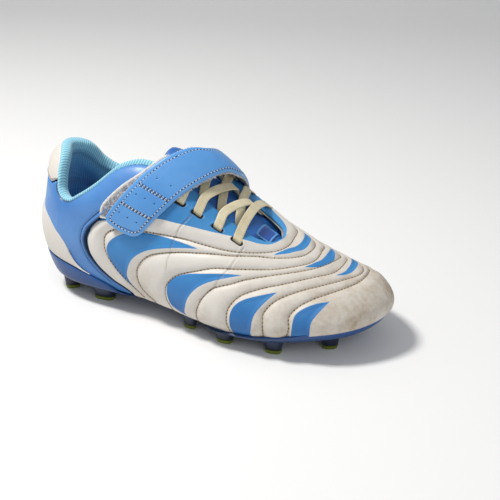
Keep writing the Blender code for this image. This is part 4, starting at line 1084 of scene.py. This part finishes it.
def make_tongue():
    k = np.linspace(3.72, 7.1, TONGUE_COLS)
    edge = np.maximum(through(TONGUE_EDGE, np.maximum(k, 3.8)), through(LINED_TO, k) + .035)
    c = np.linspace(-1, 1, TONGUE_ROWS)[:, None]
    kk = np.broadcast_to(k, (TONGUE_ROWS, TONGUE_COLS))
    p = np.where(c <= 0, kk, STATIONS - kk)
    t = 1 - (1 - edge) * np.abs(c)
    half = np.sin(np.arccos(np.clip(np.abs(c), 0, 1) ** 6)) * np.sqrt(np.clip(1 - ((3.95 - kk) / .24), 0, 1))
    half = np.clip(half, 0, 1)
    middle, thick = TONGUE_TOP - 2.7, 2.7
    quilt = .35 * np.cos(kk * 9)
    top = skin(p, t, middle + thick * half + quilt * half * .5)
    under = skin(p, t, middle - thick * half * 1.1)
    far = from_border(top, (top[0], top[-1], top[:, 0]), .5)
    obj = shell("tongue_pad", top, under, TONGUE_BLUE, layers={"edge_far": far + .6}, smooth_to=60)
    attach(obj, "tongue")
    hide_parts("tongue_shell", "tongue_foam", "tongue_lining")
    kk, cc = np.meshgrid(np.linspace(6.42, 6.82, 30), np.linspace(-.5, .5, 40))
    p = np.where(cc <= 0, kk, STATIONS - kk)
    t = 1 - .14 * np.abs(cc)
    base = on_last(p, t)
    far = from_border(base)
    d = TONGUE_TOP + GAP + .6 - .35 * np.exp(-((far - 1.3) / .35) ** 2) - edge_roll(far, .5)
    finish, tree, shader = new_finish("welded_patch", .2, Coat_Weight=.6, Coat_Roughness=.1)
    cloud = node(tree, "TexNoise", {"Vector": node(tree, "TexCoord").outputs["Object"], "Scale": 140.0})
    inner = mix(tree, cloud.outputs["Fac"], srgb(28, 70, 160), srgb(52, 104, 190))
    tree.links.new(mix(tree, held(tree, "edge_far", 1.0, 1.5), inner, srgb(92, 158, 216)),
                   shader.inputs["Base Color"])
    patch = shell("tongue_badge", skin(p, t, d), skin(p, t, np.full(t.shape, TONGUE_TOP + .1)), finish,
                  layers={"edge_far": far})
    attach(patch, "tongue")
    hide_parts("tongue_patch")


make_tongue()

# ---------------------------------------------------------------- elastic lace
# One flat cream elastic, ribbed lengthwise.  It comes up through each eyelet, arches over the throat
# and goes under the far edge, with a straight bar between the front pair; its ends are sewn inside.
LACE_WIDTH, LACE_THICK = 5.6, 1.0


def lace_route():
    hop = {True: ((.80, 2.5), (.86, 2.8), (.93, 2.6), (1, 2.1), (.96, 1.9), (.94, 1.3), (.92, -1.2),
                  (.895, -2.5), (.86, -3.7)),
           False: ((.80, 2.5), (.86, 3.0), (.895, 2.1), (.92, .3), (.94, -.8), (.96, -1.3), (1, -1.6),
                   (.93, -2.6), (.86, -3.7))}
    turn = ((EYELET_T + .04, -3.75), (EYELET_T + .008, -3.4), (EYELET_T - .002, -1.6), (EYELET_T, 0),
            (EYELET_T + .012, 2.0))
    rows = EYELET_ROWS

    def place(k, inner_side, t, d):
        """A point of the route, and the way the lace's width lies there: along the throat, to the toe."""
        p = STATIONS - k if inner_side else k
        way = on_last(p + .05, t) - on_last(p - .05, t)
        way *= (-1 if inner_side else 1) / np.linalg.norm(way)
        return np.concatenate([skin(p, t, d), way])

    def cross(row, from_outer):
        """From on top at a row to under the far side's edge at the next row."""
        points, steps = [], hop[from_outer]
        middle = [t for t, _ in steps].index(1) + 1
        pitch = rows[row + 1] - rows[row]
        for t, d in steps[:middle]:
            share = max(0, (t - .86) / .14) * .5
            points.append(place(rows[row] + pitch * share, not from_outer, t, d))
        for t, d in steps[middle:]:
            share = 1 - max(0, (t - .86) / .14) * .5
            points.append(place(rows[row] + pitch * share, from_outer, t, d))
        return points

    def half(first_outer):
        outer = first_outer
        points = [place(rows[0], not outer, t, d) for t, d in turn]
        for row in range(3):
            points += cross(row, outer)
            outer = not outer
            points += [place(rows[row + 1], not outer, t, d) for t, d in turn]
        return points

    one, other = half(True), half(False)
    bar = [place(rows[3], True, t, d) for t, d in ((.80, 1.9), (.87, 2.9), (.94, 3.4))]
    bar += [place(rows[3], False, t, d) for t, d in ((1, 3.5), (.94, 3.4), (.87, 2.9), (.80, 1.9))]
    return one + bar + other[::-1]


def lace_finish():
    finish, tree, shader = new_finish("cream_elastic", .85, Sheen_Weight=.15)
    at = node(tree, "TexCoord").outputs["Object"]
    dirt = noise(tree, at, 110.0, 6.0)
    yarn = node(tree, "TexVoronoi", {"Vector": at, "Scale": 1700.0})
    cream = mix(tree, yarn.outputs["Distance"], srgb(232, 224, 196), srgb(206, 194, 158))
    patch = ranged(tree, dirt, .42, .72, 0, .55)
    colour = mix(tree, patch, cream, srgb(186, 170, 136))
    # painted shade: darker in the grooves between the lace's ribs
    colour = mix(tree, held(tree, "groove", .4, 1, 0, .5), colour, srgb(150, 134, 100))
    tree.links.new(colour, shader.inputs["Base Color"])
    bumped(tree, shader, yarn.outputs["Distance"], .6, .00025)
    return finish


def make_lace():
    route = smooth_route(lace_route(), 8)
    route, across = route[:, :3], route[:, 3:]
    along = np.gradient(route, axis=0)
    along /= np.linalg.norm(along, axis=1, keepdims=True)
    across = across - (across * along).sum(1, keepdims=True) * along
    across /= np.linalg.norm(across, axis=1, keepdims=True)
    up = np.cross(along, across)
    w, h = LACE_WIDTH / 2, LACE_THICK / 2
    u = np.concatenate([np.linspace(-1, 1, 33), np.linspace(1, -1, 17)[1:-1]])
    high = np.concatenate([np.ones(33), -np.ones(15)])
    round_side = np.sqrt(np.clip(1 - np.abs(u) ** 8, 0, 1))
    ridge = .5 + .5 * np.cos(u * math.pi * 7)
    v = high * h * round_side * (1 - .22 * (1 - ridge) * (high > 0))
    rings = route[:, None] + across[:, None] * (u * w)[None, :, None] + up[:, None] * v[None, :, None]
    lace = lofted("lace", list(rings[:, ::-1]), lace_finish())
    # marks the grooves for the painted shade between the ribs
    groove = np.tile(np.where(high > 0, 1 - ridge, 0)[::-1], len(rings))
    kept = lace.data.attributes.new("groove", "FLOAT", "POINT")
    kept.data.foreach_set("value", groove.astype(np.float32))
    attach(lace, "shoe")
    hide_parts("elastic_lace")


make_lace()

# ---------------------------------------------------------------- strap
# The instep strap: sky-blue satin synthetic folded over a soft backing, sewn to the inner side, over the
# instep and down on to the outer side.  White thread runs round it and in two double cross rows, and eight
# small holes are punched.  Hook pile backs its free end, which bends up from the loop patch on the shoe.
STRAP, STRAP_CROWN = 1.5, .8
STRAP_REAR = [(3.12, .60, 4.4), (3.25, .665, 4.4), (3.45, .74, 4.5), (3.68, .82, 4.8), (3.9, .885, 5.6),
              (4.15, .95, 7.6), (15.6, .99, 9.2), (15.5, .93, 9.0), (15.5, .86, 7.4), (15.5, .78, 4.8),
              (15.5, .70, 2.6), (15.5, .60, 2.0), (15.5, .50, 1.9)]
STRAP_FRONT = [(3.98, .535, 4.4), (4.15, .61, 4.4), (4.35, .69, 4.5), (4.56, .782, 4.8), (4.75, .86, 6.2),
               (4.95, .94, 9.0), (14.9, .99, 10.6), (14.7, .93, 10.0), (14.65, .86, 8.0), (14.6, .78, 5.2),
               (14.6, .70, 2.8), (14.6, .60, 2.0), (14.6, .50, 1.9)]
FINE = 8                               # rows to each of the strap's 36 steps
TAB_STEP, CUT_STEP, ANCHOR_STEP, LAST_STEP = 8, 13, 30, 36
STRAP_ENDS = [smooth_route([skin(*place) for place in line], 3 * FINE) for line in (STRAP_REAR, STRAP_FRONT)]
STEP_LENGTH, END_WIDTH = 4.3, 26.0     # of the free end: how long a step is, and its width
END_BULGE, END_SLANT, END_ROUND = 1.8, 3.2, 4.5
SEAM_IN = (.125, .905)                 # shares across at which the two long seams run


def strap_place(step, share):
    """The middle of the strap's face at steps along it and shares across it, and the way it faces."""
    rear, front = STRAP_ENDS
    mid = (rear + front) / 2
    at = np.arange(len(rear)) / FINE
    pick = lambda line: np.stack([np.interp(np.ravel(step), at, line[:, i]) for i in range(3)], -1)
    face = np.cross(front - rear, np.gradient(mid, axis=0))
    face /= np.linalg.norm(face, axis=1, keepdims=True)
    r, f, n = pick(rear), pick(front), pick(face)
    n /= np.linalg.norm(n, axis=1, keepdims=True)
    share = np.ravel(share)[:, None]
    out = r + (f - r) * share + n * STRAP_CROWN * np.sin(math.pi * np.clip(share, 0, 1))
    shape = np.broadcast(step, share.reshape(np.shape(step))).shape
    return out.reshape(shape + (3,)), n.reshape(shape + (3,))


def end_step(share):
    """Where along the strap its curved free end lies."""
    x = np.clip(np.minimum(share, 1 - share) * END_WIDTH, 0, END_ROUND)
    back = END_ROUND - np.sqrt(END_ROUND ** 2 - (END_ROUND - x) ** 2)
    bulge = END_BULGE * (1 - (2 * share - 1) ** 2) + END_SLANT * share
    return (back - bulge) / STEP_LENGTH


def past_end(place, step):
    """Places moved on, straight along the strap, where their step lies beyond its first one."""
    mid = (STRAP_ENDS[0] + STRAP_ENDS[1]) / 2
    way = (mid[0] - mid[FINE]) / np.linalg.norm(mid[0] - mid[FINE])
    return place + way * (np.clip(-step, 0, None) * STEP_LENGTH)[..., None]


def strap_grid(first, last, count, inset_end=0.0, start=0.0, end=1.0, across=41):
    """Shares, places and facing over the strap between two steps; from step 0 it starts at the curved end."""
    share = np.broadcast_to(np.linspace(start, end, across)[:, None], (across, count))
    s = np.linspace(0, 1, count)[None, :]
    begin = (end_step(share) + inset_end) if first == 0 else np.full(share.shape, float(first))
    step = begin * (1 - s) + last * s
    place, face = strap_place(np.maximum(step, 0), share)
    return share, past_end(place, step), face


PUNCHED = [(3.2, .23), (2.8, .48), (2.4, .73), (6.7, .25), (6.7, .48), (6.6, .73), (9.4, .33), (9.6, .68)]


def strap_seams(last):
    """The lines of thread on the strap as (step, share), up to a step."""
    s = np.linspace(0, 1, 60)
    shares = SEAM_IN[0] + (SEAM_IN[1] - SEAM_IN[0]) * s
    inner = (shares - SEAM_IN[0]) / (SEAM_IN[1] - SEAM_IN[0])
    around = end_step(.02 + .96 * inner) + .62
    lines = [(np.concatenate([np.linspace(last, around[0], 90), around, np.linspace(around[-1], last, 90)]),
              np.concatenate([np.full(90, SEAM_IN[0]), shares, np.full(90, SEAM_IN[1])]))]
    for a, b in (((5.0, 4.2), (4.78, 3.98)), ((7.95, 7.85), (7.73, 7.63))):
        for ends in (a, b):
            lines.append((ends[0] + (ends[1] - ends[0]) * s, shares))
    return lines


def strap_finish():
    finish, tree, shader = new_finish("strap_satin", .36, Specular_IOR_Level=.55)
    at = node(tree, "TexCoord").outputs["Object"]
    tone = noise(tree, at, 40.0, 5.0)
    base = mix(tree, ranged(tree, tone, .3, .7),
               srgb(78, 140, 206), srgb(92, 156, 218))
    base = mix(tree, held(tree, "edge_far", 0, 1.1, .5, 0), base, srgb(132, 186, 236))
    # painted shade: darker navy in the sunk grooves along the stitch rows
    base = mix(tree, held(tree, "sewn_far", .15, .75, .7, 0), base, srgb(30, 66, 124))
    # painted shade: the punched holes are coloured near black
    base = mix(tree, held(tree, "punched_far", .35, .62), base, srgb(16, 26, 48))
    tree.links.new(base, shader.inputs["Base Color"])
    scuff = noise(tree, at, 260.0, 5.0, .7)
    rough = ranged(tree, scuff, .3, .75, .3, .5)
    tree.links.new(rough, shader.inputs["Roughness"])
    bumped(tree, shader, grouped(tree, GRAIN, Cell=1300).outputs["Height"], .18, .00015)
    return finish


def pile_finish(name, light, dark):
    finish, tree, shader = new_finish(name, .95, Sheen_Weight=.4)
    at = node(tree, "TexCoord").outputs["Object"]
    loops = node(tree, "TexVoronoi", {"Vector": at, "Scale": 1400.0})
    mat = noise(tree, at, 500.0, 4.0)
    matted = ranged(tree, mat, .35, .65)
    colour = mix(tree, matted, dark, light)
    colour = mix(tree, held(tree, "edge_far", 1.1, 1.6, .95, 0), colour, srgb(228, 224, 218))
    tree.links.new(colour, shader.inputs["Base Color"])
    bumped(tree, shader, loops.outputs["Distance"], .8, .0005)
    return finish


STRAP_BLUE = strap_finish()
WHITE_THREAD = thread_finish("white_thread", srgb(226, 228, 228), srgb(176, 184, 194))
# painted shade: the dark of the strap's needle holes
DARK_HOLE = thread_finish("strap_needle_hole", srgb(24, 36, 66), srgb(16, 24, 44))
PILE_WHITE = pile_finish("brushed_pile", srgb(214, 210, 206), srgb(176, 174, 174))
LOOP_GREY = pile_finish("loop_pile", srgb(190, 188, 190), srgb(120, 120, 128))


def bend_at(piece, step, parent, child):
    """Bakes the piece's placement into its mesh; it does not bend the piece."""
    def middle(at):
        rear, front = STRAP_ENDS
        return to_frame((rear[int(at * FINE)] + front[int(at * FINE)]) / 2).tolist()
    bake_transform(piece)


END_BEND, ROOT_BEND = (TAB_STEP, "strap", "strap_end"), (ANCHOR_STEP, "shoe", "strap")


def make_strap():
    seams = strap_seams(ANCHOR_STEP + 4)
    sewn = np.concatenate([strap_place(np.maximum(step, 0), share)[0] for step, share in seams])
    punched = np.array([strap_place(np.array([a]), np.array([b]))[0][0] for a, b in PUNCHED])
    for name, first, last, count, bend in (("strap_end", 0, CUT_STEP, 170, END_BEND),
                                           ("strap_root", CUT_STEP, LAST_STEP, 230, ROOT_BEND)):
        share, place, face = strap_grid(first, last, count)
        far = np.minimum(share, 1 - share) * np.linalg.norm(place[0] - place[-1], axis=-1)
        if first == 0:
            far = np.minimum(far, from_border(place, [place[:, 0]]))
        sewn_far, punched_far = near(place, sewn)[0], near(place, punched)[0]
        rise = .25 * np.clip(far / 3, 0, 1) - edge_roll(far, .6) - .2 * np.exp(-(sewn_far / .6) ** 2)
        rise -= .6 * np.clip(1 - punched_far / .7, 0, 1)
        layers = {"edge_far": far, "sewn_far": sewn_far, "punched_far": punched_far}
        obj = shell(name, place + rise[..., None] * face, place - face * STRAP, STRAP_BLUE, layers=layers,
                    smooth_to=60)
        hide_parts(*(("strap_tab",) if first == 0 else ("strap_band", "strap_anchor")))
        bend_at(obj, *bend)
    sew_strap(seams)


def sew_strap(seams, count=2400):
    """The seams' stitches, the ones before the cut on the free end and the others on the root."""
    at = np.linspace(0, 1, count)
    for part, low, high, bend in (("end", -9, CUT_STEP, END_BEND),
                                  ("root", CUT_STEP, ANCHOR_STEP + 4, ROOT_BEND)):
        lines, ways = [], []
        for seam in seams:
            step, share = (np.interp(at, np.linspace(0, 1, len(values)), values) for values in seam)
            place, face = strap_place(np.maximum(step, 0), share)
            place = past_end(place, step)
            keep = (step > low) & (step <= high)
            for run in np.split(np.arange(count), np.flatnonzero(np.diff(keep.astype(int))) + 1):
                if keep[run[0]] and len(run) > 30:
                    lines.append(place[run])
                    ways.append(face[run])
        for piece in sew("strap_" + part, lines, ways, None, WHITE_THREAD, DARK_HOLE,
                         2.2, 1.3, .26, .16):
            bend_at(piece, *bend)


def make_pile(name, first, last, count, start, end, sink, thick, inset_end, material, bend, nodes):
    """A fuzzy pad under the strap, its face roughened with loops."""
    share, place, face = strap_grid(first, last, count, inset_end, start, end)
    rng = np.random.default_rng(7)
    fuzz = rng.normal(0, .12, share.shape)
    frayed = np.where((share <= start + 1e-6) | (share >= end - 1e-6), rng.normal(0, .45, share.shape), 0)
    rear_to_front = place[-1:] - place[:1]
    rear_to_front = rear_to_front / np.linalg.norm(rear_to_front, axis=-1, keepdims=True)
    place = place + rear_to_front * frayed[..., None]
    top = place - face * sink
    under = place - face * (sink + thick + fuzz)[..., None]
    obj = shell(name, top, under, material, smooth_to=70, layers={"edge_far": np.full(share.shape, CLEAR)})
    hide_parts(*nodes)
    if bend:
        bend_at(obj, *bend)
    return obj


def make_piles():
    make_pile("hook_pile", 0, 7.6, 90, .07, .93, STRAP + .1, .8, .7, PILE_WHITE,
              END_BEND, ["hook_pad"])
    fleece = make_pile("strap_fleece", 8.4, 27, 200, -.015, 1.02, STRAP + .1, .8, 0, PILE_WHITE, None,
                       ["strap_backing"])
    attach(fleece, "strap")
    rear = smooth_route([(2.97, .60, 0), (3.02, .69, 0), (3.28, .77, 0), (3.60, .83, 0), (3.86, .905, 0)], 20)
    front = smooth_route([(3.72, .56, 0), (3.92, .63, 0), (4.16, .72, 0), (4.32, .80, 0), (4.5, .87, 0)], 20)
    share = np.linspace(0, 1, 81)[:, None, None]
    where = rear * (1 - share) + front * share
    p, t = where[..., 0], where[..., 1]
    base = on_last(p, t)
    far = from_border(base)
    rng = np.random.default_rng(11)
    fuzz = rng.normal(0, .16, far.shape) * np.clip((far - 1.4) / .5, 0, 1)
    d = 2.55 + 1.0 * np.linspace(0, 1, p.shape[1]) ** 1.2 + fuzz
    d = d - .25 * np.exp(-((far - 1.5) / .4) ** 2) - edge_roll(far, .7)
    obj = shell("loop_patch", skin(p, t, d), skin(p, t, np.full(p.shape, 1.0)), LOOP_GREY,
                layers={"edge_far": far}, smooth_to=70)
    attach(obj, "shoe")
    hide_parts("loop_pad")


make_strap()
make_piles()

# ---------------------------------------------------------------- inner layers
# What lies inside the upper: the stiff heel counter and toe cap, the insole board, the knit lining of
# the forefoot and the white strip that lines the eyelet edges.
def fibre_finish():
    finish, tree, shader = new_finish("pressed_fibre", .9)
    at = node(tree, "TexCoord").outputs["Object"]
    strand = noise(tree, at, 500.0, 5.0)
    tree.links.new(mix(tree, strand, srgb(150, 138, 118), srgb(192, 180, 156)),
                   shader.inputs["Base Color"])
    bumped(tree, shader, strand, .4, .0003)
    return finish


def facing_finish():
    finish, tree, shader = new_finish("edge_lining", .7)
    at = node(tree, "TexCoord").outputs["Object"]
    weave = noise(tree, at, 900.0, 3.0)
    tree.links.new(mix(tree, weave, srgb(206, 202, 192), srgb(160, 156, 148)),
                   shader.inputs["Base Color"])
    bumped(tree, shader, weave, .5, .0002)
    return finish


def plain_knit():
    finish, tree, shader = new_finish("forefoot_knit", .9, Sheen_Weight=.2)
    at = node(tree, "TexCoord").outputs["Object"]
    loops = node(tree, "TexVoronoi", {"Vector": at, "Scale": 900.0})
    tree.links.new(mix(tree, loops.outputs["Distance"], srgb(120, 190, 214), srgb(60, 128, 182)),
                   shader.inputs["Base Color"])
    bumped(tree, shader, loops.outputs["Distance"], .6, .0003)
    return finish


def dress(names, finish):
    for name in names:
        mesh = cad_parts[name].data
        mesh.materials.clear()
        mesh.materials.append(finish)


dress(["heel_counter", "toe_stiffener", "insole_board"], fibre_finish())
dress(["throat_facing"], facing_finish())
dress(["vamp_lining"], plain_knit())
